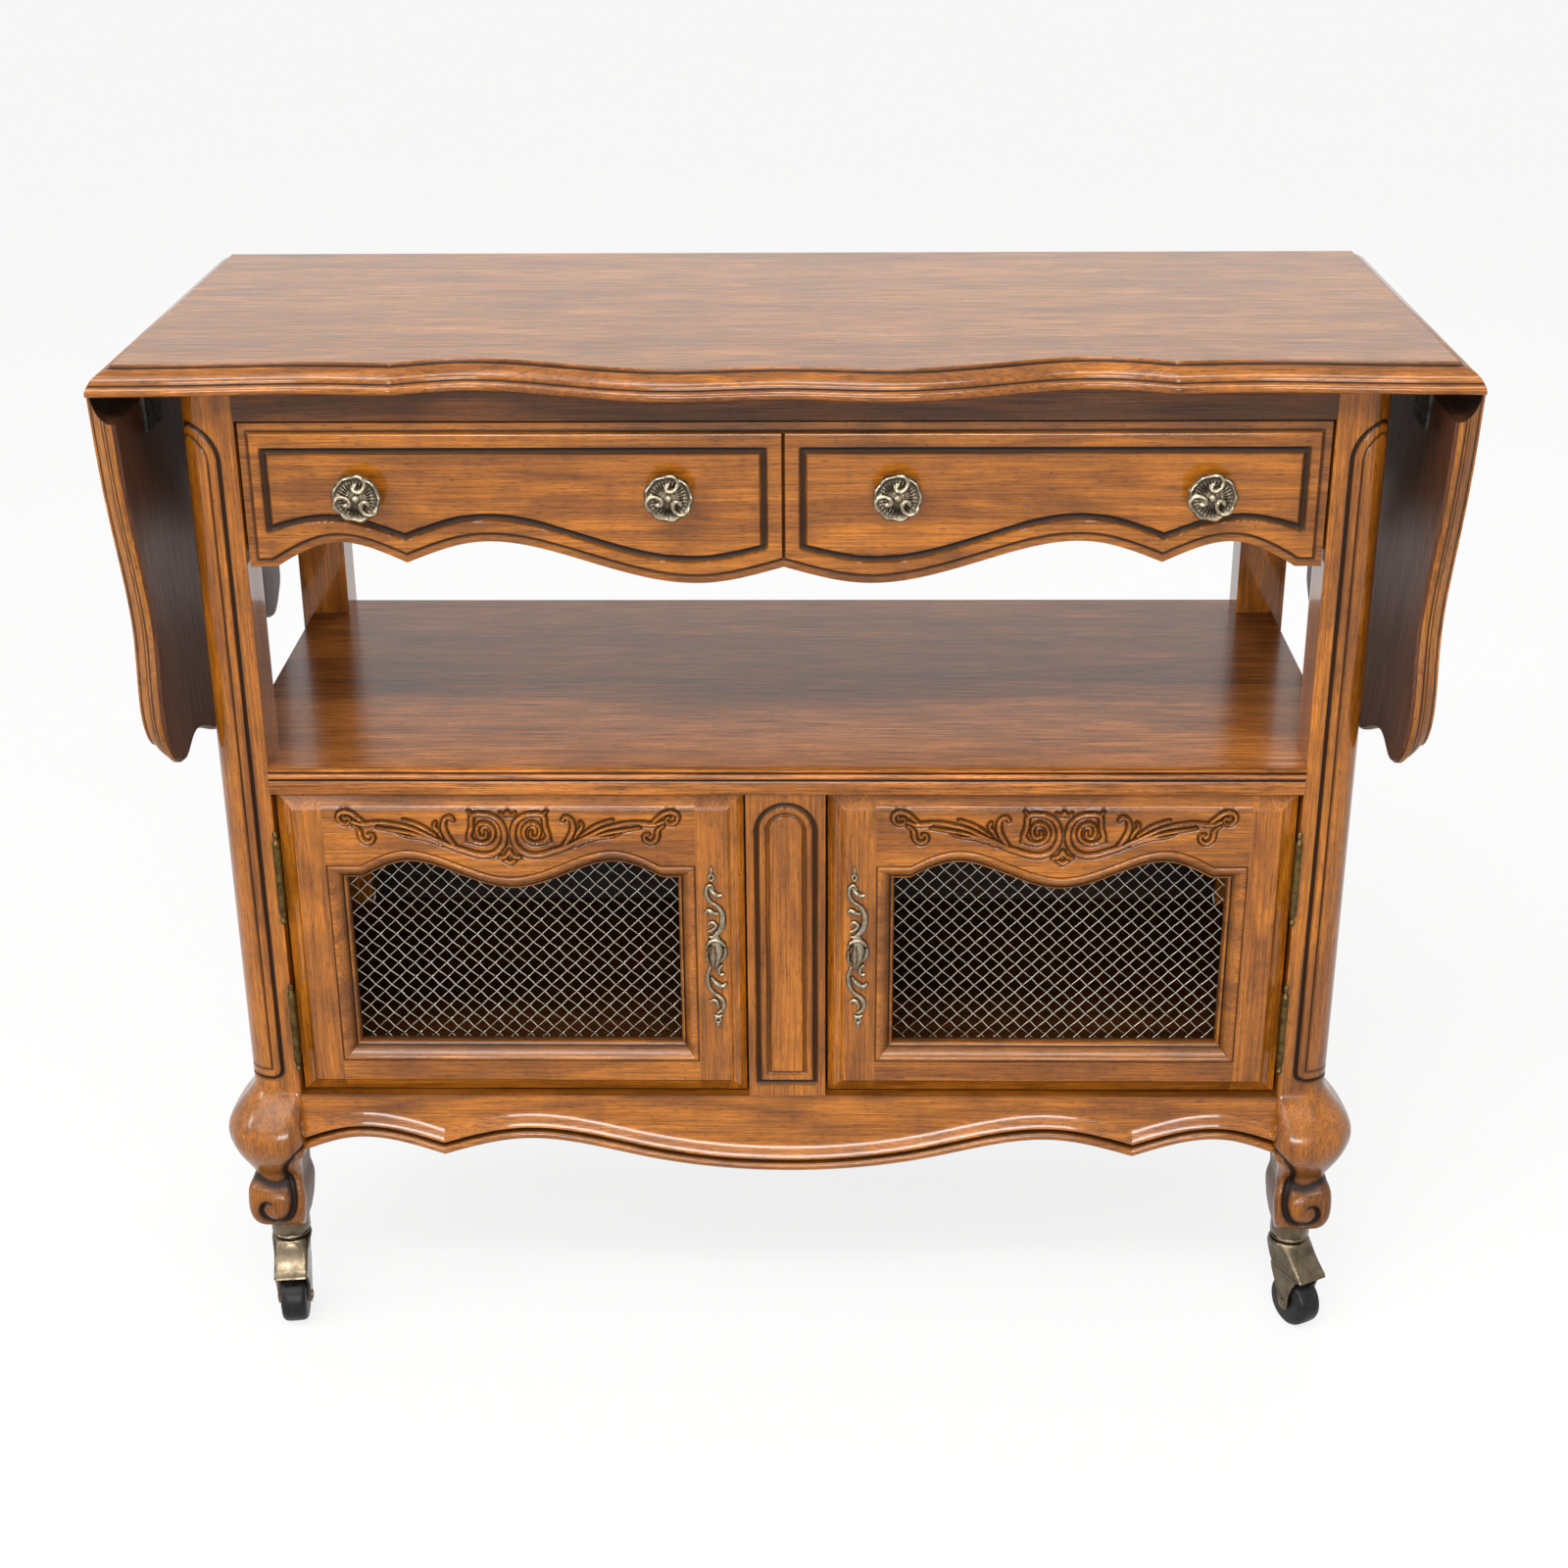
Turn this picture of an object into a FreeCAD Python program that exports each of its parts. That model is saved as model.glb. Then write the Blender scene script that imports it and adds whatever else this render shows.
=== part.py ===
import FreeCAD, Part
import math
import os
from FreeCAD import Vector

# Drop leaf serving trolley: X to the right, Y to the back, Z up, floor at Z 0, front faces -Y.
# All driving dimensions are in millimetres and degrees.

# Top and rule joints
top_height = 860.0            # floor to the top surface
top_thickness = 22.0
top_front_y = -204.0          # front arris of the top where it meets the leaves
top_back_y = 221.0
hinge_line_x = 495.0          # centre to each rule-joint axis
top_end_overhang = 40.0       # rule-joint axis past the outer face of the posts
top_front_overhang = 24.0     # front arris in front of the posts
top_back_overhang = 4.0
rule_step = 3.0               # small square step above the rule-joint quarter round
rule_gap = 0.5                # running gap round the rule joint
end_overrun = 40.0            # blank left past the hinge line before the joint is cut

# Serpentine front of the top: share of the way to the hinge line, set-back from the front arris
serpentine_middle = ((0.0, -10.0), (0.1576, -17.0), (0.2869, -6.0), (0.4808, 17.0), (0.5859, 3.0))
serpentine_outer = ((0.5859, 3.0), (0.7071, 7.5), (0.8687, 3.0), (1.0, 0.0))
end_flare = -0.5              # set-back of the blank past the hinge line

# Edge moulding of top and leaves: set-back from the arris, share of the thickness above the underside
edge_moulding = ((2.0, 0.0), (0.0, 0.12), (0.0, 0.26), (2.2, 0.37), (3.2, 0.38), (4.6, 0.50),
                 (8.0, 0.67), (12.0, 0.82), (13.5, 0.89), (14.5, 0.90), (14.5, 1.0))

# Leaves
leaf_length = 330.0           # hinge line to the tip of the middle lobe
leaf_lobe_back = 22.0         # corner lobes fall short of the tip by this much
leaf_hollow_back = 29.0       # hollows between the lobes fall short by this much
leaf_lobe_inset = 44.0        # corner lobe, from the front or back edge
leaf_hollow_inset = 70.0      # hollow, from the front or back edge
leaf_shoulder = 62.0          # where the middle lobe begins to turn, each side of its tip
leaf_shoulder_back = 4.0      # how far the shoulder falls short of the tip
# S-shaped front edge: share of the leaf length out from the hinge line, set-back from the front arris
leaf_front = ((-0.03, 0.0), (0.24, 2.0), (0.483, 15.0), (0.58, 16.0), (0.697, 6.0), (0.794, 2.0),
              (0.885, 14.0))
# Rounded back corner: back from the corner lobe, set-back from the back edge
leaf_back = ((14.0, 13.0), (46.0, 0.0))
leaf_drop_angle = 92.5        # from raised to hanging
leaf_relief = 0.3             # leaf underside below the underside of the top

# Flap hinges of the leaves
flap_inset = 96.0             # hinge centre from the front or back edge of the top
flap_length = 44.0            # along the hinge line
flap_reach = 46.0             # hinge line to the end of the plate on the leaf
flap_plate = 2.5
knuckle_radius = 3.5
flap_clear = 0.5              # flat plates stop this far from the round of the knuckles
knuckle_recess_gap = 0.7
knuckle_gap = 0.3             # between neighbouring knuckles
pin_radius = 1.5
pin_gap = 0.05                # running clearance round every hinge pin

# Swing-up leaf supports
support_length = 160.0
support_thickness = 16.0
support_width = 22.0
support_offset = 11.0         # pivot out from the side rail
support_tip = 0.7             # tip of the arm as a share of its thickness
support_pin_radius = 3.0
support_ear = 3.0             # metal round the pin
support_cheek = 2.0
support_side_gap = 0.4
support_plate_width = 70.0
support_plate_height = 34.0

# Posts
post_width = 43.0
post_depth = 45.0
post_corner = 22.0            # rounded outer corner
back_post_depth = 38.0
foot_bottom = 102.0           # wood ends here, on top of the caster collar
foot_height = 138.0           # foot and knee below the straight shaft
groove_width = 3.2
groove_depth = 3.0
groove_inset = 12.0           # flat strip between the inner face and the groove
groove_ear_top = 24.0         # ear of the groove below the top of the post
groove_ear_past = 2.0         # centre of the ear past the outer face
# Knee of the front posts: share of the foot height, inner edge and outer edge past the shaft, outer rounding
knee_sections = ((0.870, 0.0, 7.0, 24.0), (0.768, 0.0, 17.0, 30.0), (0.674, 0.0, 22.0, 33.0),
                 (0.565, 0.0, 19.0, 31.0), (0.457, 0.0, 11.0, 24.0), (0.362, -0.5, 3.0, 14.0))
# Scroll foot below the knee, in the same measures
scroll_sections = ((0.319, -1.0, 6.0, 10.0), (0.261, -1.0, 9.5, 8.0), (0.181, -1.0, 10.0, 8.0),
                   (0.109, -2.0, 9.5, 8.0), (0.051, -4.0, 7.5, 8.0), (0.0, -6.0, 4.0, 8.0))
foot_corner = 6.0
foot_ease = 3.0               # eased edges where the shaft turns into the foot
foot_seat = 3.0               # flat faces for the aprons reach this far below them
scroll_eye_in = 30.0          # eye of the scroll out from the inner face of the post
scroll_eye_up = 19.0          # eye of the scroll above the bottom of the foot
scroll_start = 4.0            # radius where the groove begins at the eye
scroll_groove = 3.0
scroll_turns = 1.35
scroll_growth = 8.0           # radius gained per turn
back_foot_waist = 14.0        # how much narrower the back posts are at the ankle
# Back foot: share of the foot height, share of the waist taken off, share of the way to the caster
back_foot_sections = ((1.0, 0.0, 0.0), (0.6, 0.5, 0.3), (0.25, 1.0, 0.8), (0.0, 0.5, 1.0))

# Case rails and panels
front_rail_height = 24.0
front_rail_depth = 22.0
rail_drop = 140.0             # depth of the side and back rails below the top
side_board_inset = 14.0       # side boards behind the outer face of the posts
side_board = 18.0
back_board_inset = 11.0       # back boards behind the front face of the back posts
back_board = 18.0
shelf_top = 532.0
shelf_thickness = 23.0
shelf_overhang = 4.0          # shelf past the side boards
shelf_nosing = 6.0            # shelf edge in front of the posts
shelf_quirk = 0.35            # depth of the flat behind the beads, as a share of the nosing
shelf_back_inset = 3.0        # shelf short of the back of the posts
cabinet_bottom = 229.5        # top of the front apron and of the cabinet floor
floor_board = 14.0
cabinet_side = 14.0
cabinet_back = 10.0
apron_drop = 54.5             # front apron at its ends
apron_thickness = 22.0
apron_bead = 8.0
apron_bead_proud = 4.0
apron_groove = 3.0
side_apron_drop = 56.0
side_apron_rise = 22.0
# Lower edge of the front apron: share of the way to the posts, height above the ends
apron_outer = ((1.0, 0.0), (0.9005, 12.5), (0.7112, -4.0))
apron_inner = ((0.7112, -4.0), (0.5461, 12.0), (0.2913, -6.0), (0.0, -19.0))

# Centre stile
stile_half_width = 32.0
stile_thickness = 22.0
stile_groove_half = 25.0
stile_groove_width = 4.0
stile_groove_gap = 5.0        # bead between the two grooves
stile_groove_margin = 10.0    # groove to the ends of the stile

# Drawer
drawer_gap = 2.0
drawer_front_height = 113.4   # at its outer corners
drawer_front_thickness = 20.0
drawer_bead = 7.0
drawer_bead_depth = 3.0
drawer_depth = 300.0
drawer_side = 12.0
drawer_side_height = 84.0
drawer_bottom = 6.0
drawer_bottom_lift = 5.0
runner_height = 14.0
runner_lap = 16.0             # runner under the drawer side
# Lower edge of the drawer front: share of its half width, height above the outer corners
drawer_outer = ((0.9512, 0.0), (0.8415, 19.7), (0.7049, 3.3))
drawer_inner = ((0.7049, 3.3), (0.5756, 19.7), (0.3659, 4.0), (0.1488, -13.3), (0.0, -0.3))
# Panel groove of each half, in the same measures
panel_curve_outer = ((0.9634, 27.5), (0.8463, 37.5), (0.7049, 22.0))
panel_curve_inner = ((0.7049, 22.0), (0.5707, 37.5), (0.3659, 20.5), (0.1561, 4.0), (0.0293, 14.0))
panel_top_inset = 18.5
panel_groove = 5.5
panel_groove_depth = 3.0
centre_groove = 3.0
knob_places = (0.2098, 0.7829)  # share of the half width of the drawer front
knob_height = 60.0            # above the outer corners of the drawer front
knob_radius = 17.5
knob_projection = 20.0
# Turned outline of the knob: share of its radius, share of its projection
knob_profile = ((0.0, 0.0), (0.4, 0.0), (0.4, 0.1), (0.29, 0.2), (0.29, 0.55), (0.89, 0.7), (1.0, 0.8),
                (0.91, 0.925), (0.6, 0.875), (0.2, 0.925), (0.0, 1.0))

# Doors
door_gap = 2.0
door_hinge_gap = 2.4
door_thickness = 20.0
door_bevel = 13.0
door_bevel_depth = 8.0
lock_stile = 39.0
hinge_stile = 36.6
bottom_rail = 31.0
top_rail = 62.0               # at the top corners of the window
field_step = 2.5              # small upright step where the bevel meets the field
window_flat = 28.0
# Arched top of the window: share of its half width, height above the corner flats
window_arch = ((0.72, 7.5), (0.573, 14.0), (0.32, 4.5))
window_dip = 10.0
window_moulding = 15.5
moulding_proud = 1.5
moulding_back = 5.0           # back of the moulding in from the back of the door
# Window moulding: share of its width in from the window edge, depth behind its front
moulding_profile = ((0.28, 0.0), (0.55, 6.0), (0.75, 7.0), (1.0, 14.0))
grille_border = 8.0
grille_spacing = 13.4         # wire to wire along the diagonal of a mesh
grille_wire = 1.0
grille_layer_gap = 0.2
pull_inset = 24.0             # centre of the pull from the edge of the door
pull_length = 150.0
pull_width = 20.0
pull_plate = 2.5
pull_boss = 11.0
pull_neck = 0.25              # neck of the boss as a share of its reach
pull_grip = 0.55              # widest part of the boss as a share of its reach
pull_nose = 0.4               # rounded nose of the boss as a share of its reach
# Outline of the pull: share of the half length, share of the half width
pull_outline = ((0.0, 1.0), (0.12, 0.85), (0.24, 0.42), (0.42, 0.95), (0.6, 0.8), (0.78, 0.35),
                (0.9, 0.45), (1.0, 0.08))

# Barrel hinges of the doors
barrel_radius = 3.0
barrel_length = 63.0
barrel_finial = 11.0
# Finial: share of its height, share of the barrel radius
finial_profile = ((0.0, 1.0), (0.4, 0.5), (0.62, 0.85), (0.82, 0.7), (1.0, 0.15))
barrel_forward = 4.2          # axis in front of the post face
barrel_low = 64.5             # middle of the lower hinge above the bottom of the door
barrel_high = 72.0            # middle of the upper hinge below the top of the door
hinge_leaf = 1.0
hinge_leaf_depth = 14.0

# Door catches
catch_size = 16.0
catch_gap = 0.3

# Casters
caster_in = 25.0              # swivel axis out from the inner face of the posts
caster_back_in = 18.0         # swivel axis behind the front face of the front posts
back_caster_in = 19.0         # swivel axis behind the front face of the back posts
wheel_radius = 22.5
wheel_width = 22.0
wheel_round = 0.25            # rounding of the tyre as a share of its width
wheel_hub_radius = 7.0
wheel_hub_gap = 0.5
axle_radius = 2.5
axle_gap = 0.06
caster_trail = 16.0
hood_wall = 2.5
hood_side_gap = 1.1
hood_clear = 3.0              # room over the tyre
hood_lip = 2.6                # thickness of the front lip
hood_cheek = 6.5              # half width of the cheeks at the axle
# Saddle-shaped front of the hood: forward of the swivel axis, below the hood top
hood_saddle = ((16.0, 0.0), (17.8, 9.0), (23.0, 20.0), (30.0, 28.5), (37.0, 33.5))
hood_cap_radius = 19.0        # round cap at the top of the hood
hood_cap_foot = 15.0          # the cap tapers to this at the foot of the saddle
ferrule_height = 14.0
ferrule_radius = 17.0
ferrule_lip = 1.5
ferrule_band = 0.6            # share of the height that the wide band takes
ferrule_gap = 0.5
socket_radius = 8.0
socket_length = 28.0
stem_radius = 5.0
stem_gap = 0.06
caster_turn = {"front_left": 6.0, "front_right": 28.0, "back_left": -12.0, "back_right": 20.0}

# Worked-out levels and faces
top_under = top_height - top_thickness
rule_radius = top_thickness - rule_step
post_outer_x = hinge_line_x - top_end_overhang
post_inner_x = post_outer_x - post_width
post_front_y = top_front_y + top_front_overhang
back_post_front_y = top_back_y - top_back_overhang - back_post_depth
side_board_outer_x = post_outer_x - side_board_inset
shaft_bottom = foot_bottom + foot_height
post_back_y = post_front_y + post_depth
back_post_back_y = back_post_front_y + back_post_depth
back_board_y = back_post_front_y + back_board_inset
support_pivot_x = side_board_outer_x + support_offset
shelf_side_x = side_board_outer_x + shelf_overhang
shelf_back_y = back_post_back_y - shelf_back_inset
caster_x = post_inner_x + caster_in
caster_front_y = post_front_y + caster_back_in
caster_back_y = back_post_front_y + back_caster_in
hood_top = foot_bottom - ferrule_height
case_bottom = top_under - rail_drop
drawer_top = top_under - front_rail_height - drawer_gap
drawer_corner_z = drawer_top - drawer_front_height
drawer_back_face = post_front_y + drawer_front_thickness
drawer_half = post_inner_x - drawer_gap
shelf_under = shelf_top - shelf_thickness
door_back_y = post_front_y + door_thickness
door_x0 = stile_half_width + door_gap
door_x1 = post_inner_x - door_hinge_gap
door_z0 = cabinet_bottom + door_gap
door_z1 = shelf_under - door_gap
window_x0 = door_x0 + lock_stile
window_x1 = door_x1 - hinge_stile
window_z0 = door_z0 + bottom_rail
window_flat_z = door_z1 - top_rail
window_middle_z = (window_z0 + window_flat_z) / 2
pull_x = door_x0 + pull_inset
pull_z = (door_z0 + door_z1) / 2
barrel_z = (door_z0 + barrel_low, door_z1 - barrel_high)
window_centre = (window_x0 + window_x1) / 2
window_half = (window_x1 - window_x0) / 2


def box(x0, x1, y0, y1, z0, z1):
    return Part.makeBox(x1 - x0, y1 - y0, z1 - z0, Vector(x0, y0, z0))


def mirror_x(shape):
    return shape.mirror(Vector(0, 0, 0), Vector(1, 0, 0))


def spline(points):
    curve = Part.BSplineCurve()
    curve.interpolate(points)
    return curve.toShape()


def line(start, end):
    return Part.LineSegment(start, end).toShape()


def polygon(points):
    return Part.Wire(Part.makePolygon(points + points[:1]))


def prism(wire, direction):
    return Part.Face(wire).extrude(direction)


def tube_along(radius, bore, start, length, axis):
    # Round tube, or a plain pin where the bore is nought
    body = Part.makeCylinder(radius, length, start, axis)
    if bore:
        body = body.cut(Part.makeCylinder(bore, length, start, axis))
    return body


def both_sides(points):
    # Points given from the centre outwards become one left-to-right run
    left = [(-x, v) for x, v in reversed(points)]
    return left + [p for p in points if p[0] > 0]


# Top with its serpentine moulded edge and rule-joint ends

def top_level(set_back, z):
    def place(share, swell):
        return Vector(share * hinge_line_x, top_front_y + swell + set_back, z)
    end_x = hinge_line_x + end_overrun
    outer = list(serpentine_outer) + [(end_x / hinge_line_x, end_flare)]
    right = [place(share, s) for share, s in outer]
    left = [place(-share, s) for share, s in reversed(outer)]
    middle = [place(share, s) for share, s in both_sides(serpentine_middle)]
    back_right = Vector(end_x, top_back_y - set_back, z)
    back_left = Vector(-end_x, top_back_y - set_back, z)
    edges = [spline(left), spline(middle), spline(right), line(right[-1], back_right),
             line(back_right, back_left), line(back_left, left[0])]
    return Part.Wire(edges)


def make_top():
    levels = [top_level(s, top_under + share * top_thickness) for s, share in edge_moulding]
    blank = Part.makeLoft(levels, True, True)
    y0 = top_front_y - end_overrun
    length = top_back_y - top_front_y + 2 * end_overrun
    step_z = top_height - rule_step
    a = rule_radius * math.sqrt(0.5)

    def p(x, z):
        return Vector(x, y0, z)

    def quarter(side):
        x = side * hinge_line_x
        arc = Part.Arc(p(x, step_z), p(x + side * a, top_under + a), p(x + side * rule_radius, top_under))
        return arc.toShape()

    edges = [line(p(-hinge_line_x, top_height), p(hinge_line_x, top_height)),
             line(p(hinge_line_x, top_height), p(hinge_line_x, step_z)),
             quarter(1),
             line(p(hinge_line_x + rule_radius, top_under), p(-hinge_line_x - rule_radius, top_under)),
             quarter(-1),
             line(p(-hinge_line_x, step_z), p(-hinge_line_x, top_height))]
    joint = prism(Part.Wire(Part.__sortEdges__(edges)), Vector(0, length, 0))
    top = blank.common(joint)
    for side in (-1, 1):
        for y in flap_centres():
            start = Vector(side * hinge_line_x, y - flap_length / 2 - knuckle_gap, top_under)
            recess = Part.makeCylinder(knuckle_radius + knuckle_recess_gap, flap_length + 2 * knuckle_gap,
                                       start, Vector(0, 1, 0))
            top = top.cut(recess)
    return top


# Leaves, built raised on the right and then turned down

def leaf_outline():
    # Distance out from the hinge line, set-back from the front arris; front, end and back in turn
    depth = top_back_y - top_front_y
    lobe = leaf_length - leaf_lobe_back
    hollow = leaf_length - leaf_hollow_back
    middle = depth / 2
    front = [(share * leaf_length, y) for share, y in leaf_front]
    half_end = [(lobe, leaf_lobe_inset), (hollow, leaf_hollow_inset),
                (leaf_length - leaf_shoulder_back, middle - leaf_shoulder), (leaf_length, middle)]
    far_end = [(s, depth - y) for s, y in reversed(half_end[:-1])]
    back = [(lobe - s, depth - y) for s, y in leaf_back]
    return front + half_end + far_end + back


def leaf_level(set_back, z):
    points = [Vector(hinge_line_x + s, top_front_y + y, z) for s, y in leaf_outline()]
    free = Part.BSplineCurve()
    free.interpolate(Points=points, FinalTangent=Vector(-1, 0, 0), InitialTangent=Vector(1, 0, 0))
    moved = []
    for point in points:
        along = free.tangent(free.parameter(point))[0]
        moved.append(point + Vector(-along.y, along.x, 0) * set_back)
    edge = Part.BSplineCurve()
    edge.interpolate(Points=moved, FinalTangent=Vector(-1, 0, 0), InitialTangent=Vector(1, 0, 0))
    back_end = Vector(moved[0].x, moved[-1].y, z)
    return Part.Wire([edge.toShape(), line(moved[-1], back_end), line(back_end, moved[0])])


def make_leaf():
    under = top_under - leaf_relief
    thickness = top_height - under
    levels = [leaf_level(s, under + share * thickness) for s, share in edge_moulding]
    leaf = Part.makeLoft(levels, True, True)
    far = end_overrun
    depth = top_back_y - top_front_y + 2 * far
    leaf = leaf.cut(box(hinge_line_x - far, hinge_line_x + rule_gap, top_front_y - far, top_back_y + far,
                        under - far, top_height + far))
    cove = Part.makeCylinder(rule_radius + rule_gap, depth,
                             Vector(hinge_line_x, top_front_y - far, top_under), Vector(0, 1, 0))
    return leaf.cut(cove)


def hang(shape):
    # Turn a raised right-hand piece down about the rule-joint axis
    turned = shape.copy()
    turned.rotate(Vector(hinge_line_x, 0, top_under), Vector(0, 1, 0), leaf_drop_angle)
    return turned


def flap_centres():
    return (top_front_y + flap_inset, top_back_y - flap_inset)


def make_flap_hinges():
    # One hinge near the front and one near the back: plates under the top, flaps under the leaf
    fixed = []
    swing = []
    third = flap_length / 3
    clear = knuckle_radius + flap_clear
    axis = Vector(0, 1, 0)
    for y in flap_centres():
        y0 = y - flap_length / 2
        y1 = y + flap_length / 2
        bore = pin_radius + pin_gap
        plate = box(hinge_line_x - flap_reach, hinge_line_x - clear, y0, y1, top_under - flap_plate,
                    top_under)
        for k0, k1 in ((y0, y0 + third), (y1 - third, y1)):
            finger = box(hinge_line_x - clear, hinge_line_x, k0, k1, top_under - flap_plate, top_under)
            barrel = Part.makeCylinder(knuckle_radius, k1 - k0, Vector(hinge_line_x, k0, top_under), axis)
            plate = plate.fuse(finger).fuse(barrel)
        whole = Part.makeCylinder(bore, flap_length, Vector(hinge_line_x, y0, top_under), axis)
        fixed.append(plate.cut(whole).removeSplitter())
        fixed.append(Part.makeCylinder(pin_radius, flap_length, Vector(hinge_line_x, y0, top_under), axis))
        under = top_under - leaf_relief
        flap = box(hinge_line_x + clear, hinge_line_x + flap_reach, y0, y1, under - flap_plate, under)
        k0 = y0 + third + knuckle_gap
        k1 = y1 - third - knuckle_gap
        finger = box(hinge_line_x, hinge_line_x + clear, k0, k1, under - flap_plate, under)
        barrel = Part.makeCylinder(knuckle_radius, k1 - k0, Vector(hinge_line_x, k0, top_under), axis)
        flap = flap.fuse(finger).fuse(barrel).cut(whole)
        swing.append(flap.removeSplitter())
    return fixed, swing


# Swing-up supports under the leaves, on the right

def support_pivot_z():
    return top_under - leaf_relief - rule_gap - support_thickness / 2


def support_middle_y():
    return (top_front_y + top_back_y) / 2


def make_support_bracket():
    z = support_pivot_z()
    y = support_middle_y()
    axis = Vector(0, 1, 0)
    half = support_width / 2 + support_side_gap
    plate_face = side_board_outer_x + support_cheek
    plate = box(side_board_outer_x, plate_face, y - support_plate_width / 2, y + support_plate_width / 2,
                z + support_thickness / 2 - support_plate_height, z + support_thickness / 2)
    reach = support_pin_radius + support_ear
    for y0 in (y - half - support_cheek, y + half):
        ear = Part.makeCylinder(reach, support_cheek, Vector(support_pivot_x, y0, z), axis)
        web = box(plate_face, support_pivot_x, y0, y0 + support_cheek, z - reach, z + reach)
        plate = plate.fuse(ear).fuse(web)
    pin = Part.makeCylinder(support_pin_radius, 2 * (half + support_cheek),
                            Vector(support_pivot_x, y - half - support_cheek, z), axis)
    return [plate.fuse(pin).removeSplitter()]


def make_support_arm():
    # Hanging straight down beside the rail, tapered to a rounded tip
    z = support_pivot_z()
    y0 = support_middle_y() - support_width / 2
    half = support_thickness / 2
    axis = Vector(0, 1, 0)
    tip = half * support_tip
    outer = support_pivot_x + half
    end_z = z - support_length + tip
    shank = polygon([Vector(support_pivot_x - half, y0, z), Vector(outer, y0, z),
                     Vector(outer, y0, end_z), Vector(outer - 2 * tip, y0, end_z)])
    arm = prism(shank, axis * support_width)
    arm = arm.fuse(Part.makeCylinder(half, support_width, Vector(support_pivot_x, y0, z), axis))
    arm = arm.fuse(Part.makeCylinder(tip, support_width, Vector(outer - tip, y0, end_z), axis))
    bore = Part.makeCylinder(support_pin_radius + pin_gap, support_width, Vector(support_pivot_x, y0, z),
                             axis)
    return arm.cut(bore).removeSplitter()


# Posts, on the right

def rounded_section(x0, x1, y0, y1, outer, inner, z):
    # Square section whose outer front corner has its own rounding
    corners = ((x0, y0, inner), (x1, y0, outer), (x1, y1, inner), (x0, y1, inner))
    inward = ((1, 1), (-1, 1), (-1, -1), (1, -1))
    edges = []
    ends = []
    for i, (x, y, r) in enumerate(corners):
        sx, sy = inward[i]
        cx = x + sx * r
        cy = y + sy * r
        d = r * math.sqrt(0.5)
        on_x = Vector(x, cy, z)
        on_y = Vector(cx, y, z)
        first, last = (on_x, on_y) if i % 2 == 0 else (on_y, on_x)
        ends.append((first, Vector(cx - sx * d, cy - sy * d, z), last))
    for i, (first, mid, last) in enumerate(ends):
        edges.append(Part.Arc(first, mid, last).toShape())
        edges.append(line(last, ends[(i + 1) % 4][0]))
    return Part.Wire(edges)


def shaft_solid(shrink):
    # Straight shaft, or its core shrunk from the front and outer faces
    x1 = post_outer_x - shrink
    y0 = post_front_y + shrink
    r = post_corner - shrink
    d = r * (1 - math.sqrt(0.5))

    def p(x, y):
        return Vector(x, y, shaft_bottom)

    edges = [line(p(post_inner_x, y0), p(x1 - r, y0)),
             Part.Arc(p(x1 - r, y0), p(x1 - d, y0 + d), p(x1, y0 + r)).toShape(),
             line(p(x1, y0 + r), p(x1, post_back_y)),
             line(p(x1, post_back_y), p(post_inner_x, post_back_y)),
             line(p(post_inner_x, post_back_y), p(post_inner_x, y0))]
    return prism(Part.Wire(edges), Vector(0, 0, top_under - shaft_bottom))


def panel_groove_cutter():
    # Groove that runs up the post, turns outwards in a quarter round and is closed at the bottom
    x0 = post_inner_x + groove_inset
    y0 = post_front_y - groove_depth
    ear = post_outer_x - x0 + groove_ear_past
    ear_z = top_under - groove_ear_top - ear
    axis = Vector(0, 1, 0)
    low = shaft_bottom + groove_width
    run = box(x0, x0 + groove_width, y0, post_back_y, low, ear_z)
    foot = box(x0, post_outer_x + 1, y0, post_back_y, low, low + groove_width)
    centre = Vector(x0 + ear, y0, ear_z)
    ring = tube_along(ear, ear - groove_width, centre, post_depth + groove_depth, axis)
    quarter = box(x0 - 1, x0 + ear, y0, post_back_y, ear_z, ear_z + ear + 1)
    return run.fuse(foot).fuse(ring.common(quarter))


def scroll_cutter(depth):
    # Spiral groove drawn as a band between two spirals on the front of the foot
    count = 12
    total = scroll_turns * 2 * math.pi
    inside = []
    outside = []
    for i in range(count + 1):
        turn = total * i / count
        r = scroll_start + scroll_growth * turn / (2 * math.pi)
        direction = Vector(math.cos(turn + math.pi), 0, math.sin(turn + math.pi))
        eye = Vector(post_inner_x + scroll_eye_in, post_front_y - depth, foot_bottom + scroll_eye_up)
        inside.append(eye + direction * (r - scroll_groove / 2))
        outside.append(eye + direction * (r + scroll_groove / 2))
    wire = Part.Wire([spline(inside), line(inside[-1], outside[-1]), spline(outside[::-1]),
                      line(outside[0], inside[0])])
    return prism(wire, Vector(0, depth, 0))


def foot_section(share, inner, outer, rounding):
    # Level of the knee or foot, spread to the outside and in on the diagonal
    return rounded_section(post_inner_x - inner, post_outer_x + outer, post_front_y - outer,
                           post_back_y + inner, rounding, foot_corner, foot_bottom + share * foot_height)


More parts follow.
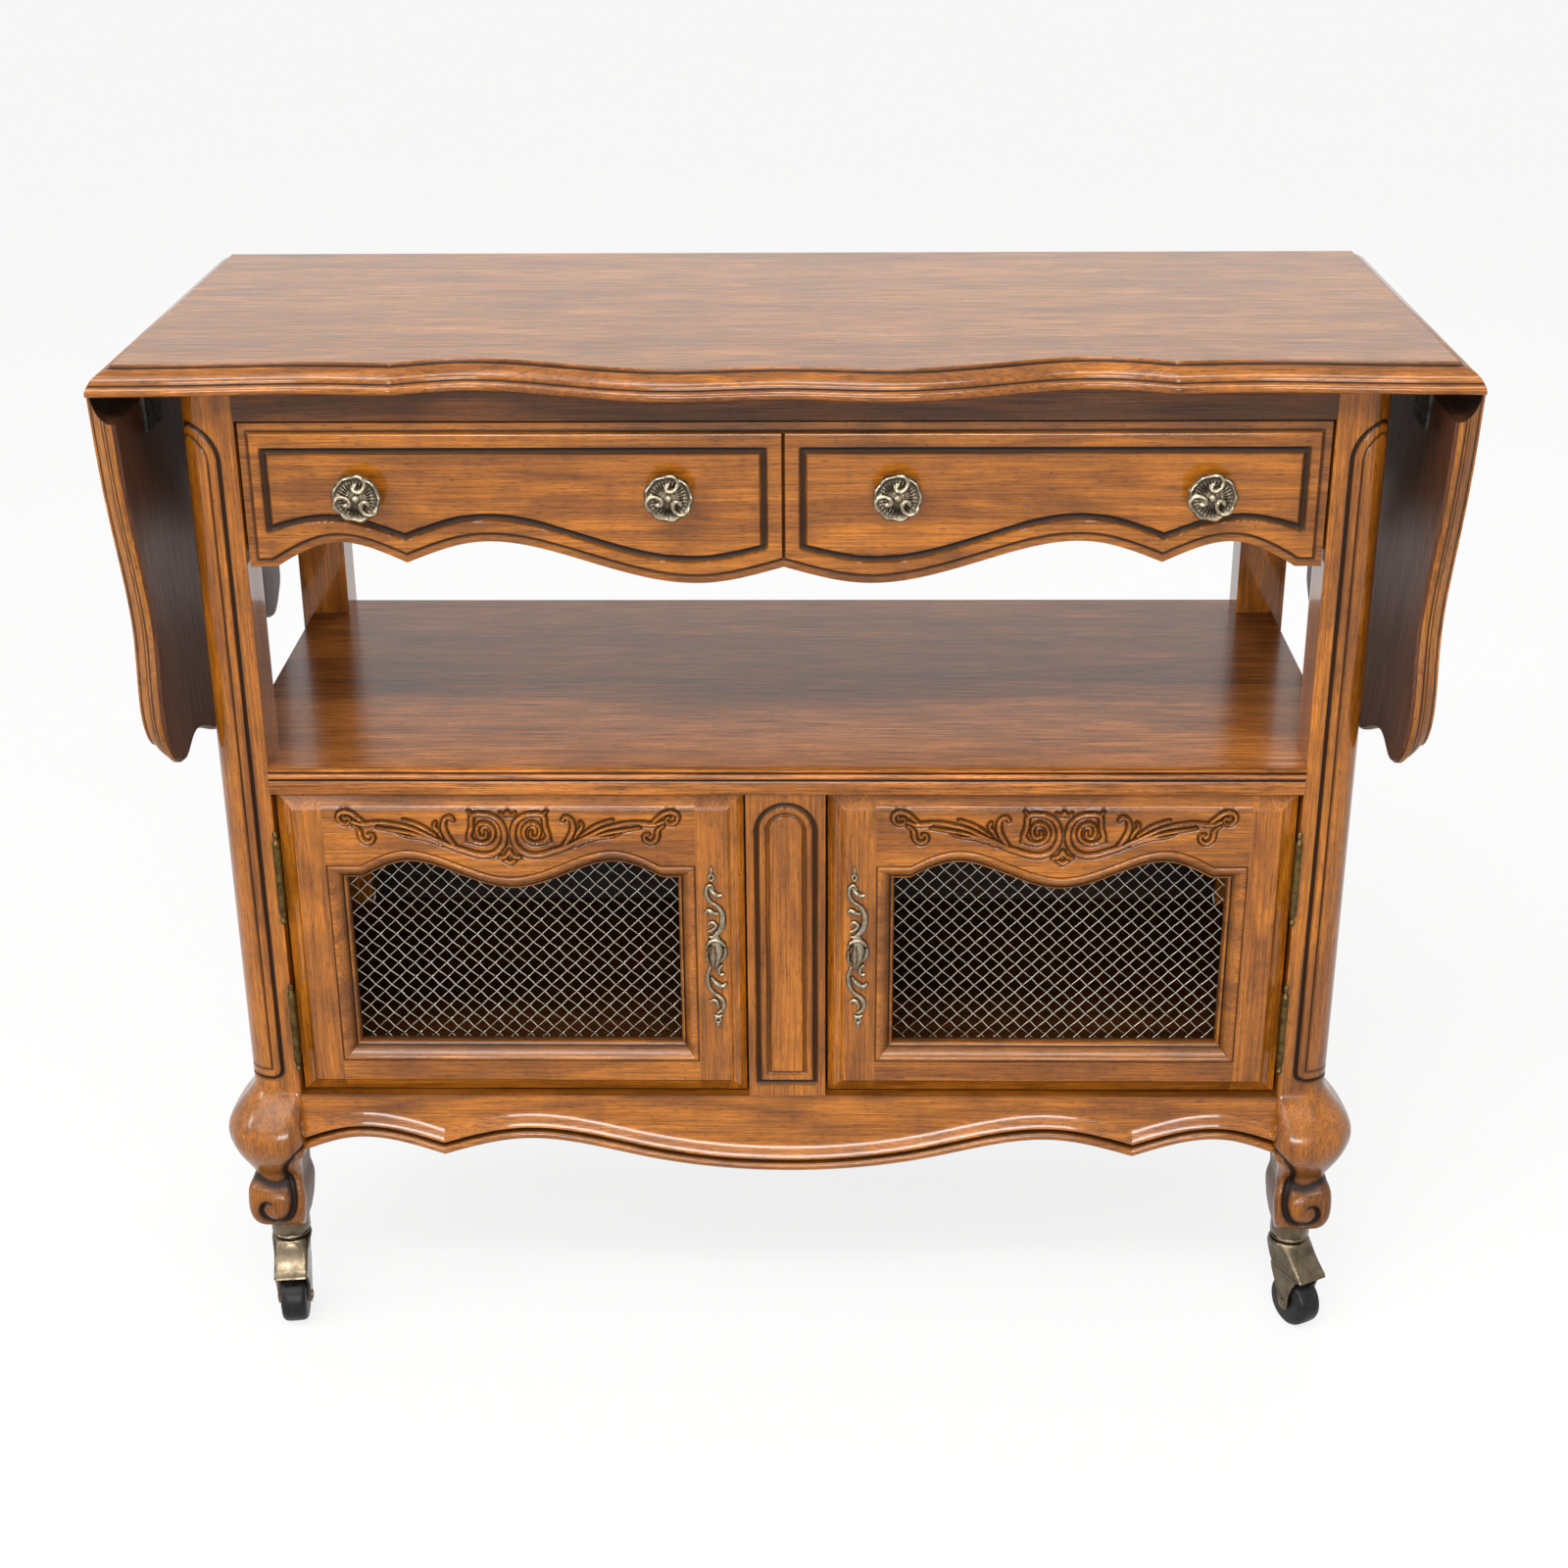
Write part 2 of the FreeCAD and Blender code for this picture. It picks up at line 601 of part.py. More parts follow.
def make_front_post():
    shaft = shaft_solid(0.0)
    skin = shaft.cut(shaft_solid(groove_depth))
    shaft = shaft.cut(panel_groove_cutter().common(skin))
    top = rounded_section(post_inner_x, post_outer_x, post_front_y, post_back_y, post_corner, foot_ease,
                          shaft_bottom)
    knee_levels = [foot_section(*row) for row in knee_sections]
    knee = Part.makeLoft([top] + knee_levels, True, False)
    scroll_levels = [foot_section(*row) for row in scroll_sections]
    scroll = Part.makeLoft(knee_levels[-1:] + scroll_levels, True, True)
    proud = max(row[2] for row in scroll_sections)
    foot = knee.fuse(scroll.cut(scroll_cutter(proud)))
    # Flat faces where the aprons and the cabinet boards meet the knee
    seat_z = cabinet_bottom - max(apron_drop, side_apron_drop) - foot_seat
    far = post_depth
    foot = foot.cut(box(post_inner_x - far, post_inner_x, post_front_y - far, post_back_y + far, seat_z,
                        shaft_bottom))
    foot = foot.cut(box(post_inner_x - far, post_outer_x + far, post_back_y, post_back_y + far, seat_z,
                        shaft_bottom))
    post = shaft.fuse(foot).removeSplitter()
    return post.cut(socket_bore(caster_front_y))


def make_back_post():
    shaft = box(post_inner_x, post_outer_x, back_post_front_y, back_post_back_y, shaft_bottom, top_under)
    middle_x = (post_inner_x + post_outer_x) / 2
    half_x = (post_outer_x - post_inner_x) / 2
    half_y = back_post_depth / 2
    middle_y = (back_post_front_y + back_post_back_y) / 2

    def level(share, taken, shift):
        hx = half_x - taken * back_foot_waist / 2
        hy = half_y - taken * back_foot_waist / 2
        cx = middle_x + shift * (caster_x - middle_x)
        cy = middle_y + shift * (caster_back_y - middle_y)
        z = foot_bottom + share * foot_height
        return rounded_section(cx - hx, cx + hx, cy - hy, cy + hy, foot_ease, foot_ease, z)

    foot = Part.makeLoft([level(*row) for row in back_foot_sections], True, True)
    return shaft.fuse(foot).removeSplitter().cut(socket_bore(caster_back_y))


def socket_bore(y):
    return Part.makeCylinder(socket_radius + pin_gap, socket_length, Vector(caster_x, y, foot_bottom))


# Rails, panels and aprons

def make_shelf():
    board = box(-shelf_side_x, shelf_side_x, post_back_y, back_post_front_y, shelf_under, shelf_top)
    board = board.fuse(box(-post_inner_x, post_inner_x, post_front_y, shelf_back_y, shelf_under, shelf_top))
    # Nosing of two beads with a quirk between them
    h = shelf_thickness

    def p(forward, share):
        return Vector(-post_inner_x, post_front_y - forward, shelf_under + share * h)

    n = shelf_nosing
    flat = shelf_quirk * n
    edges = [line(p(0, 0), p(flat, 0)),
             Part.Arc(p(flat, 0), p(0.75 * n, 0.2), p(flat, 0.4)).toShape(),
             line(p(flat, 0.4), p(flat, 0.5)),
             Part.Arc(p(flat, 0.5), p(n, 0.74), p(flat, 1.0)).toShape(),
             line(p(flat, 1.0), p(0, 1.0)),
             line(p(0, 1.0), p(0, 0))]
    nosing = prism(Part.Wire(edges), Vector(2 * post_inner_x, 0, 0))
    return board.fuse(nosing).removeSplitter()


def apron_edge(y, lift):
    # Scalloped lower edge of the front apron, lifted by a share for the bead and groove
    z0 = cabinet_bottom - apron_drop + lift

    def place(share, rise):
        return Vector(share * post_inner_x, y, z0 + rise)

    right = [place(x, v) for x, v in apron_outer]
    left = [place(-x, v) for x, v in apron_outer]
    middle = [place(-x, v) for x, v in apron_inner] + [place(x, v) for x, v in reversed(apron_inner[:-1])]
    return [spline(left), spline(middle), spline(right[::-1])], left[0], right[0]


def apron_slab(y0, y1, lift, top_z):
    edges, left, right = apron_edge(y0, lift)
    high_right = Vector(post_inner_x, y0, top_z)
    high_left = Vector(-post_inner_x, y0, top_z)
    wire = Part.Wire(edges + [line(right, high_right), line(high_right, high_left), line(high_left, left)])
    return prism(wire, Vector(0, y1 - y0, 0))


def make_front_apron():
    y0 = post_front_y
    y1 = post_front_y + apron_thickness
    board = apron_slab(y0, y1, 0.0, cabinet_bottom)
    proud = y0 - apron_bead_proud
    sunk = y0 + apron_groove
    bead = apron_slab(proud, y1, 0.0, cabinet_bottom)
    bead = bead.cut(apron_slab(proud, y1, apron_bead, cabinet_bottom))
    groove = apron_slab(y0, sunk, apron_bead, cabinet_bottom)
    groove = groove.cut(apron_slab(y0, sunk, apron_bead + apron_groove, cabinet_bottom))
    return board.cut(groove).fuse(bead).removeSplitter()


def make_side_apron():
    # Arched lower edge between the front and back posts
    z0 = cabinet_bottom - side_apron_drop
    z1 = cabinet_bottom - floor_board
    x = side_board_outer_x - side_board
    near = post_back_y
    far = back_post_front_y

    def p(y, z):
        return Vector(x, y, z)

    arch = Part.Arc(p(near, z0), p((near + far) / 2, z0 + side_apron_rise), p(far, z0)).toShape()
    wire = Part.Wire([arch, line(p(far, z0), p(far, z1)), line(p(far, z1), p(near, z1)),
                      line(p(near, z1), p(near, z0))])
    return prism(wire, Vector(side_board, 0, 0))


def make_cabinet_floor():
    z0 = cabinet_bottom - floor_board
    board = box(-side_board_outer_x, side_board_outer_x, post_back_y, back_post_front_y, z0, cabinet_bottom)
    front = post_front_y + apron_thickness
    middle = box(-post_inner_x, post_inner_x, front, back_board_y, z0, cabinet_bottom)
    return board.fuse(middle).removeSplitter()


def make_centre_stile():
    z0 = cabinet_bottom
    z1 = shelf_under
    y1 = post_front_y + stile_thickness
    stile = box(-stile_half_width, stile_half_width, post_front_y, y1, z0, z1)

    def arch(half, low, y, depth):
        # Upright panel with a round head
        top = z1 - stile_groove_margin - (stile_groove_half - half)
        spring = top - half
        body = box(-half, half, y, y + depth, low, spring)
        head = Part.makeCylinder(half, depth, Vector(0, y, spring), Vector(0, 1, 0))
        return body.fuse(head)

    outer = stile_groove_half
    step = stile_groove_width
    y = post_front_y
    for half in (outer, outer - stile_groove_width - stile_groove_gap):
        low = z0 + stile_groove_margin + outer - half
        wide = step if half == outer else step / 2
        band = arch(half, low, y, groove_depth).cut(arch(half - wide, low + wide, y, groove_depth))
        stile = stile.cut(band)
    return stile


# Drawer

def scallop(points_out, points_in, y, base):
    # Left-to-right run of a double scalloped edge, meeting at the centre
    def place(side, share, v):
        return Vector(side * share * drawer_half, y, base + v)
    left = [spline([place(-1, x, v) for x, v in points_out]),
            spline([place(-1, x, v) for x, v in points_in])]
    right = [spline([place(1, x, v) for x, v in reversed(points_in)]),
             spline([place(1, x, v) for x, v in reversed(points_out)])]
    return left + right


def half_panel(inset, y):
    # Outline of one panel on the right half, drawn in by an inset
    def place(x, v):
        return Vector(x, y, drawer_corner_z + v)
    low_out = panel_curve_outer[0][0] * drawer_half - inset
    low_in = panel_curve_inner[-1][0] * drawer_half + inset
    outer = [(low_out, panel_curve_outer[0][1] + inset)]
    outer += [(x * drawer_half, v + inset) for x, v in panel_curve_outer[1:]]
    inner = [(x * drawer_half, v + inset) for x, v in panel_curve_inner[:-1]]
    inner.append((low_in, panel_curve_inner[-1][1] + inset))
    high = drawer_front_height - panel_top_inset - inset
    a = place(low_out, outer[0][1])
    b = place(low_in, inner[-1][1])
    return Part.Wire([spline([place(x, v) for x, v in outer]), spline([place(x, v) for x, v in inner]),
                      line(b, place(low_in, high)), line(place(low_in, high), place(low_out, high)),
                      line(place(low_out, high), a)])


def drawer_slab(inset, y, depth):
    # Slab with the outline of the drawer front, drawn in by an inset
    low = drawer_corner_z + inset
    high = drawer_top - inset
    half = drawer_half - inset
    flat_x = drawer_outer[0][0] * drawer_half

    def p(x, z):
        return Vector(x, y, z)

    edges = [line(p(-half, low), p(-flat_x, low))] + scallop(drawer_outer, drawer_inner, y, low)
    edges += [line(p(flat_x, low), p(half, low)), line(p(half, low), p(half, high)),
              line(p(half, high), p(-half, high)), line(p(-half, high), p(-half, low))]
    return prism(Part.Wire(edges), Vector(0, depth, 0))


def make_drawer_front():
    y0 = post_front_y
    front = drawer_slab(0.0, y0, drawer_front_thickness)
    # Sunk edge all round
    sunk = drawer_bead_depth
    front = front.cut(drawer_slab(0.0, y0, sunk).cut(drawer_slab(drawer_bead, y0, sunk)))
    panel = prism(half_panel(0.0, y0), Vector(0, panel_groove_depth, 0))
    panel = panel.cut(prism(half_panel(panel_groove, y0), Vector(0, panel_groove_depth, 0)))
    front = front.cut(panel).cut(mirror_x(panel))
    parting = box(-centre_groove / 2, centre_groove / 2, y0, y0 + sunk,
                  drawer_corner_z - drawer_front_height, drawer_top - drawer_bead)
    return front.cut(parting)


def drawer_levels():
    low = case_bottom + runner_height
    return low, low + drawer_side_height


def make_drawer_side():
    low, high = drawer_levels()
    back = drawer_back_face + drawer_depth
    return box(drawer_half - drawer_side, drawer_half, drawer_back_face, back, low, high)


def make_drawer_back():
    low, high = drawer_levels()
    inner = drawer_half - drawer_side
    back = drawer_back_face + drawer_depth
    return box(-inner, inner, back - drawer_side, back, low, high)


def make_drawer_bottom():
    low = drawer_levels()[0] + drawer_bottom_lift
    inner = drawer_half - drawer_side
    back = drawer_back_face + drawer_depth - drawer_side
    return box(-inner, inner, drawer_back_face, back, low, low + drawer_bottom)


def make_runner():
    low = case_bottom
    return box(drawer_half - runner_lap, side_board_outer_x - side_board, post_back_y, back_post_front_y,
               low, low + runner_height)


def make_knob(x):
    # Dished rosette on a short stem
    z = drawer_corner_z + knob_height
    outline = [Vector(r * knob_radius, -out * knob_projection, 0) for r, out in knob_profile]
    knob = Part.Face(polygon(outline)).revolve(Vector(0, 0, 0), Vector(0, 1, 0), 360)
    knob.translate(Vector(x, post_front_y, z))
    return knob


# Doors, on the right

def window_wire(inset, y):
    def place(x, v):
        return Vector(window_centre + x, y, window_flat_z + v - inset)
    half = window_half - inset
    turn = window_half - window_flat
    low = window_z0 + inset - window_flat_z + inset
    arch = [(turn, 0.0)] + [(share * window_half, v) for share, v in window_arch] + [(0.0, -window_dip)]
    top = [place(x, v) for x, v in arch] + [place(-x, v) for x, v in reversed(arch[:-1])]
    a = place(half, low)
    b = place(half, 0.0)
    c = place(-half, 0.0)
    d = place(-half, low)
    return Part.Wire([line(a, b), line(b, top[0]), spline(top), line(top[-1], c), line(c, d), line(d, a)])


def make_door_frame():
    y0 = post_front_y
    blank = box(door_x0, door_x1, y0, door_back_y, door_z0, door_z1)

    def bevel(size):
        # Sunk bevel along the near edge of a length that starts at nought
        section = polygon([Vector(0, 0, 0), Vector(0, door_bevel_depth, 0),
                           Vector(0, field_step, door_bevel - field_step), Vector(0, 0, door_bevel)])
        return prism(section, Vector(size, 0, 0))

    low = bevel(door_x1 - door_x0)
    high = low.mirror(Vector(0, 0, 0), Vector(0, 0, 1))
    low.translate(Vector(door_x0, y0, door_z0))
    high.translate(Vector(door_x0, y0, door_z1))
    side = bevel(door_z1 - door_z0)
    side.rotate(Vector(0, 0, 0), Vector(0, 1, 0), -90)
    outer = side.copy()
    outer.translate(Vector(door_x1, y0, door_z0))
    inner = side.mirror(Vector(0, 0, 0), Vector(1, 0, 0))
    inner.translate(Vector(door_x0, y0, door_z0))
    for cutter in (low, high, outer, inner):
        blank = blank.cut(cutter)
    window = prism(window_wire(0.0, y0), Vector(0, door_thickness, 0))
    blank = blank.cut(window)
    y1 = door_back_y + 1
    cuts = {"lock_stile": box(door_x0, window_x0, y0 - 1, y1, door_z0, door_z1),
            "hinge_stile": box(window_x1, door_x1, y0 - 1, y1, door_z0, door_z1),
            "top_rail": box(window_x0, window_x1, y0 - 1, y1, window_middle_z, door_z1),
            "bottom_rail": box(window_x0, window_x1, y0 - 1, y1, door_z0, window_middle_z)}
    return {name: blank.common(piece) for name, piece in cuts.items()}


def moulding_depth():
    # Front and back of the window moulding
    return post_front_y - moulding_proud, door_back_y - moulding_back


def make_moulding():
    front, back = moulding_depth()
    frame = prism(window_wire(0.0, front), Vector(0, back - front, 0))
    first = moulding_profile[0]
    levels = [(first[0], front - 1.0)]
    levels += [(share, front + depth) for share, depth in moulding_profile]
    levels.append((moulding_profile[-1][0], back + 1.0))
    hole = Part.makeLoft([window_wire(share * window_moulding, y) for share, y in levels], True, True)
    return frame.cut(hole)


def make_grille():
    # Two layers of slanting wires joined only by the border that the moulding covers
    y0 = moulding_depth()[1]
    y1 = y0 + 2 * grille_wire + grille_layer_gap
    outside = window_wire(window_moulding - grille_border, y0)
    inside = window_wire(window_moulding, y0)
    thick = Vector(0, y1 - y0, 0)
    border = prism(outside, thick).cut(prism(inside, thick))
    clip = prism(window_wire(window_moulding - grille_border / 2, y0 - 1), Vector(0, y1 - y0 + 2, 0))
    reach = window_half + (door_z1 - door_z0)
    count = int(reach / grille_spacing)
    wires = []
    for layer, angle in ((y0, 45), (y1 - grille_wire, -45)):
        for i in range(-count, count + 1):
            wire = box(-reach, reach, layer, layer + grille_wire, -grille_wire / 2, grille_wire / 2)
            wire.rotate(Vector(0, 0, 0), Vector(0, 1, 0), angle)
            wire.translate(Vector(window_centre + i * grille_spacing, 0, window_middle_z))
            piece = wire.common(clip)
            if piece.Volume > 1.0:
                wires.append(piece)
    return border.multiFuse(wires).removeSplitter()


def make_pull():
    # Long scrolled back plate, waisted between lobes, with a drop-shaped boss to grip
    half = pull_length / 2
    w = pull_width / 2
    up = [(v * w, s * half) for s, v in pull_outline]
    right = [(x, -z) for x, z in reversed(up[1:])] + up
    y0 = post_front_y - pull_plate

    def p(x, z):
        return Vector(pull_x + x, y0, pull_z + z)

    side = spline([p(x, z) for x, z in right])
    other = spline([p(-x, z) for x, z in reversed(right)])
    wire = Part.Wire([side, line(p(*right[-1]), p(-right[-1][0], right[-1][1])), other,
                      line(p(-right[0][0], right[0][1]), p(*right[0]))])
    plate = prism(wire, Vector(0, pull_plate, 0))
    neck = pull_boss * pull_neck
    grip = pull_boss * pull_grip
    nose = pull_boss * pull_nose
    out = Vector(0, -1, 0)
    root = Vector(pull_x, y0, pull_z)
    boss = Part.makeCone(neck, grip, pull_boss, root, out)
    tip = Part.makeCone(grip, neck, nose, root + out * pull_boss, out)
    return plate.fuse(boss).fuse(tip).removeSplitter()


def barrel_axis():
    return post_inner_x - door_hinge_gap / 2, post_front_y - barrel_forward


def make_barrel_hinges():
    # Post side: outer knuckles, leaf on the post and pin with finials. Door side: middle knuckle and leaf
    fixed = []
    swing = []
    x, y = barrel_axis()
    up = Vector(0, 0, 1)
    third = barrel_length / 3
    bore = pin_radius + pin_gap
    leaf_back = post_front_y + hinge_leaf_depth
    for z in barrel_z:
        z0 = z - barrel_length / 2
        z1 = z + barrel_length / 2
        hole = Part.makeCylinder(bore, barrel_length, Vector(x, y, z0), up)
        plate = None
        for k0, k1 in ((z0, z0 + third), (z1 - third, z1)):
            knuckle = Part.makeCylinder(barrel_radius, k1 - k0, Vector(x, y, k0), up)
            knuckle = knuckle.fuse(box(post_inner_x - hinge_leaf, post_inner_x, y, leaf_back, k0, k1))
            plate = knuckle if plate is None else plate.fuse(knuckle)
        leaf_front_y = post_front_y + barrel_radius
        plate = plate.fuse(box(post_inner_x - hinge_leaf, post_inner_x, leaf_front_y, leaf_back, z0, z1))
        fixed.append(plate.cut(hole).removeSplitter())
        pin = Part.makeCylinder(pin_radius, barrel_length, Vector(x, y, z0), up)
        for end, way in ((z1, 1), (z0, -1)):
            outline = [Vector(r * barrel_radius, 0, way * s * barrel_finial) for s, r in finial_profile]
            outline += [Vector(0, 0, way * barrel_finial), Vector(0, 0, 0)]
            finial = Part.Face(polygon(outline)).revolve(Vector(0, 0, 0), up, 360)
            finial.translate(Vector(x, y, end))
            pin = pin.fuse(finial)
        fixed.append(pin.removeSplitter())
        k0 = z0 + third + knuckle_gap
        k1 = z1 - third - knuckle_gap
        door_leaf = box(door_x1, door_x1 + hinge_leaf, leaf_front_y, leaf_back, z0, z1)
        reach = box(door_x1, door_x1 + hinge_leaf, y, leaf_back, k0, k1)
        knuckle = Part.makeCylinder(barrel_radius, k1 - k0, Vector(x, y, k0), up)
        swing.append(door_leaf.fuse(reach).fuse(knuckle).cut(hole).removeSplitter())
    return fixed, swing


def make_catch():
    # Magnetic catch under the shelf behind the lock stile
    y0 = door_back_y + catch_gap
    x0 = door_x0 + catch_size / 2
    return box(x0, x0 + 2 * catch_size, y0, y0 + catch_size, shelf_under - catch_size, shelf_under)


# Casters, each made about its own swivel axis with the wheel trailing to the front

def hood_outline(x, back):
    # Side view: saddle-shaped front with a lip, cheeks narrowing to the axle, straight back
    axle = Vector(x, -caster_trail, wheel_radius)
    saddle = [Vector(x, -forward, hood_top - down) for forward, down in hood_saddle]
    lip = saddle[-1] - Vector(0, 0, hood_lip)
    under = Vector(x, axle.y - hood_cheek, lip.z)
    front_cheek = axle + Vector(0, -hood_cheek, 0)
    back_cheek = axle + Vector(0, hood_cheek, 0)
    end = axle + Vector(0, 0, -hood_cheek)
    high = Vector(x, back, hood_top)
    return Part.Wire([spline(saddle), line(saddle[-1], lip), line(lip, under), line(under, front_cheek),
                      Part.Arc(front_cheek, end, back_cheek).toShape(), line(back_cheek, high),
                      line(high, saddle[0])])


def make_fork():
    half = wheel_width / 2 + hood_side_gap + hood_wall
    inner = half - hood_wall
    reach = wheel_radius + hood_clear
    hood = prism(hood_outline(-half, hood_cap_foot), Vector(2 * half, 0, 0))
    drop = hood_saddle[-1][1]
    cap = Part.makeCone(hood_cap_foot, hood_cap_radius, drop, Vector(0, 0, hood_top - drop))
    wide = prism(hood_outline(-2 * half, hood_cap_radius), Vector(4 * half, 0, 0))
    hood = hood.fuse(cap.common(wide))
    axle = Vector(0, -caster_trail, wheel_radius)
    room = Part.makeCylinder(reach, 2 * inner, axle + Vector(-inner, 0, 0), Vector(1, 0, 0))
    below = box(-inner, inner, axle.y - 2 * reach, axle.y + 2 * reach, 0, wheel_radius)
    behind = box(-inner, inner, axle.y, axle.y + 2 * reach, 0, wheel_radius + reach)
    hood = hood.cut(room.fuse(below).fuse(behind))
    stem = Part.makeCylinder(stem_radius, foot_bottom + socket_length - 2 - hood_top, Vector(0, 0, hood_top))
    spindle = Part.makeCylinder(axle_radius, 2 * half, axle + Vector(-half, 0, 0), Vector(1, 0, 0))
    return hood.fuse(stem).fuse(spindle).removeSplitter()


def make_wheel():
    axle = Vector(-wheel_width / 2, -caster_trail, wheel_radius)
    axis = Vector(1, 0, 0)
    # Turned tyre whose edges are eased in two flats
    ease = wheel_width * wheel_round
    half = [(0.0, wheel_radius - ease), (0.3 * ease, wheel_radius - 0.3 * ease), (ease, wheel_radius)]
    rim = half + [(wheel_width - x, r) for x, r in reversed(half)]
    outline = [Vector(0, 0, 0)] + [Vector(x, r, 0) for x, r in rim] + [Vector(wheel_width, 0, 0)]
    tyre = Part.Face(polygon(outline)).revolve(Vector(0, 0, 0), axis, 360)
    tyre.translate(axle)
    side = hood_side_gap - wheel_hub_gap
    hub = Part.makeCylinder(wheel_hub_radius, wheel_width + 2 * side, axle - axis * side, axis)
    bore = Part.makeCylinder(axle_radius + axle_gap, wheel_width + 2 * side, axle - axis * side, axis)
    return tyre.fuse(hub).cut(bore).removeSplitter()


def make_ferrule():
    # Collar under the foot with the sleeve that takes the stem
    low = hood_top + ferrule_gap
    height = foot_bottom - low
    collar = Part.makeCylinder(ferrule_radius - ferrule_lip, height, Vector(0, 0, low))
    band_height = height * ferrule_band
    band = Part.makeCylinder(ferrule_radius, band_height, Vector(0, 0, foot_bottom - band_height))
    sleeve = Part.makeCylinder(socket_radius, socket_length, Vector(0, 0, foot_bottom))
    bore = Part.makeCylinder(stem_radius + stem_gap, height + socket_length, Vector(0, 0, low))
    return collar.fuse(band).fuse(sleeve).cut(bore).removeSplitter()


def caster_places():
    places = {}
    for corner, turn in caster_turn.items():
        x = caster_x if corner.endswith("right") else -caster_x
        y = caster_front_y if corner.startswith("front") else caster_back_y
        places[corner] = (Vector(x, y, 0), turn)
    return places


def place_caster(shape, spot, turn):
    placed = shape.copy()
    placed.rotate(Vector(0, 0, 0), Vector(0, 0, 1), turn)
    placed.translate(spot)
    return placed


# Assembly: node name to its solids

nodes = {}


def add(name, shape):
    solids = shape if isinstance(shape, list) else [shape]
    nodes[name] = Part.makeCompound(solids) if len(solids) > 1 else solids[0]


def add_pair(name, shape):
    # Right-hand piece and its mirror image as two nodes
    solids = shape if isinstance(shape, list) else [shape]
    add(name % "right", solids)
    add(name % "left", [mirror_x(s) for s in solids])


def add_both(name, shape):
    # Right-hand piece and its mirror image in one node
    solids = shape if isinstance(shape, list) else [shape]
    add(name, solids + [mirror_x(s) for s in solids])


add("top_panel", make_top())
add_pair("front_post_%s", make_front_post())
add_pair("back_post_%s", make_back_post())
add("front_rail", box(-post_inner_x, post_inner_x, post_front_y, post_front_y + front_rail_depth,
                      top_under - front_rail_height, top_under))
add_pair("side_rail_%s", box(side_board_outer_x - side_board, side_board_outer_x, post_back_y,
                             back_post_front_y, case_bottom, top_under))
add("back_rail", box(-post_inner_x, post_inner_x, back_board_y, back_board_y + back_board, case_bottom,
                     top_under))
add_both("drawer_runners", make_runner())
add("shelf", make_shelf())
add_pair("cabinet_side_%s", box(side_board_outer_x - cabinet_side, side_board_outer_x, post_back_y,
                                back_post_front_y, cabinet_bottom, shelf_under))
add("cabinet_back", box(-post_inner_x, post_inner_x, back_board_y, back_board_y + cabinet_back,
                        cabinet_bottom, shelf_under))
add("cabinet_floor", make_cabinet_floor())
add("centre_stile", make_centre_stile())
add("front_apron", make_front_apron())
add_pair("side_apron_%s", make_side_apron())
add("back_apron", box(-post_inner_x, post_inner_x, back_board_y, back_board_y + back_board,
                      cabinet_bottom - side_apron_drop, cabinet_bottom))
add_both("door_catches", make_catch())

add("drawer_front", make_drawer_front())
add_both("drawer_sides", make_drawer_side())
add("drawer_back", make_drawer_back())
add("drawer_bottom", make_drawer_bottom())
add("drawer_knobs", [make_knob(side * share * drawer_half) for share in knob_places for side in (-1, 1)])

for piece, solid in make_door_frame().items():
    add_pair("door_%s_" + piece, solid)
add_pair("door_%s_moulding", make_moulding())
add_pair("door_%s_grille", make_grille())
add_pair("door_%s_pull", make_pull())
post_leaves, door_leaves = make_barrel_hinges()
add_both("door_hinge_post_leaves", post_leaves)
add_pair("door_%s_hinge_leaves", door_leaves)

add_pair("leaf_%s_panel", hang(make_leaf()))
top_plates, leaf_flaps = make_flap_hinges()
add_both("leaf_hinge_top_plates", top_plates)
add_pair("leaf_%s_hinge_flaps", [hang(flap) for flap in leaf_flaps])
add_both("support_brackets", make_support_bracket())
add_pair("support_arm_%s", make_support_arm())

fork = make_fork()
wheel = make_wheel()
ferrule = make_ferrule()
places = caster_places()
add("caster_ferrules", [place_caster(ferrule, spot, 0.0) for spot, turn in places.values()])
for corner, (spot, turn) in places.items():
    add("caster_%s_fork" % corner, place_caster(fork, spot, turn))
    add("caster_%s_wheel" % corner, place_caster(wheel, spot, turn))

os.makedirs("parts", exist_ok=True)
for name, shape in nodes.items():
    shape.exportStep("parts/%s.step" % name)
    print(name, len(shape.Solids), "solids", round(shape.Volume / 1000.0, 1), "cm3", shape.isValid())
print(len(nodes), "nodes")
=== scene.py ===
import math
import bpy
import numpy as np
from mathutils import Matrix, Vector


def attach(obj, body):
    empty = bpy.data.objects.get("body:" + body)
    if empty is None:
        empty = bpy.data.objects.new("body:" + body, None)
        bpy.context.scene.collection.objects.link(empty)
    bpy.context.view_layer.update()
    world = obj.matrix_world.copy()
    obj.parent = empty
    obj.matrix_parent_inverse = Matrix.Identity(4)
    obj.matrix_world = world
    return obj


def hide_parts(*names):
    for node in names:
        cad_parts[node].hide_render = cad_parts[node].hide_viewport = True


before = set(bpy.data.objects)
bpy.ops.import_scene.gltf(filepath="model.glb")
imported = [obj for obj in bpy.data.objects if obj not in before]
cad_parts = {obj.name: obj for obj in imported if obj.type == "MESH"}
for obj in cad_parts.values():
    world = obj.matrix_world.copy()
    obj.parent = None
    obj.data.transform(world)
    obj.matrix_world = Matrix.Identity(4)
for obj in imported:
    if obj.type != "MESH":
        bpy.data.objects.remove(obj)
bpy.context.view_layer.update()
scene = bpy.context.scene
print("frame loaded,", len(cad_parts), "nodes")


# Colours and nodes

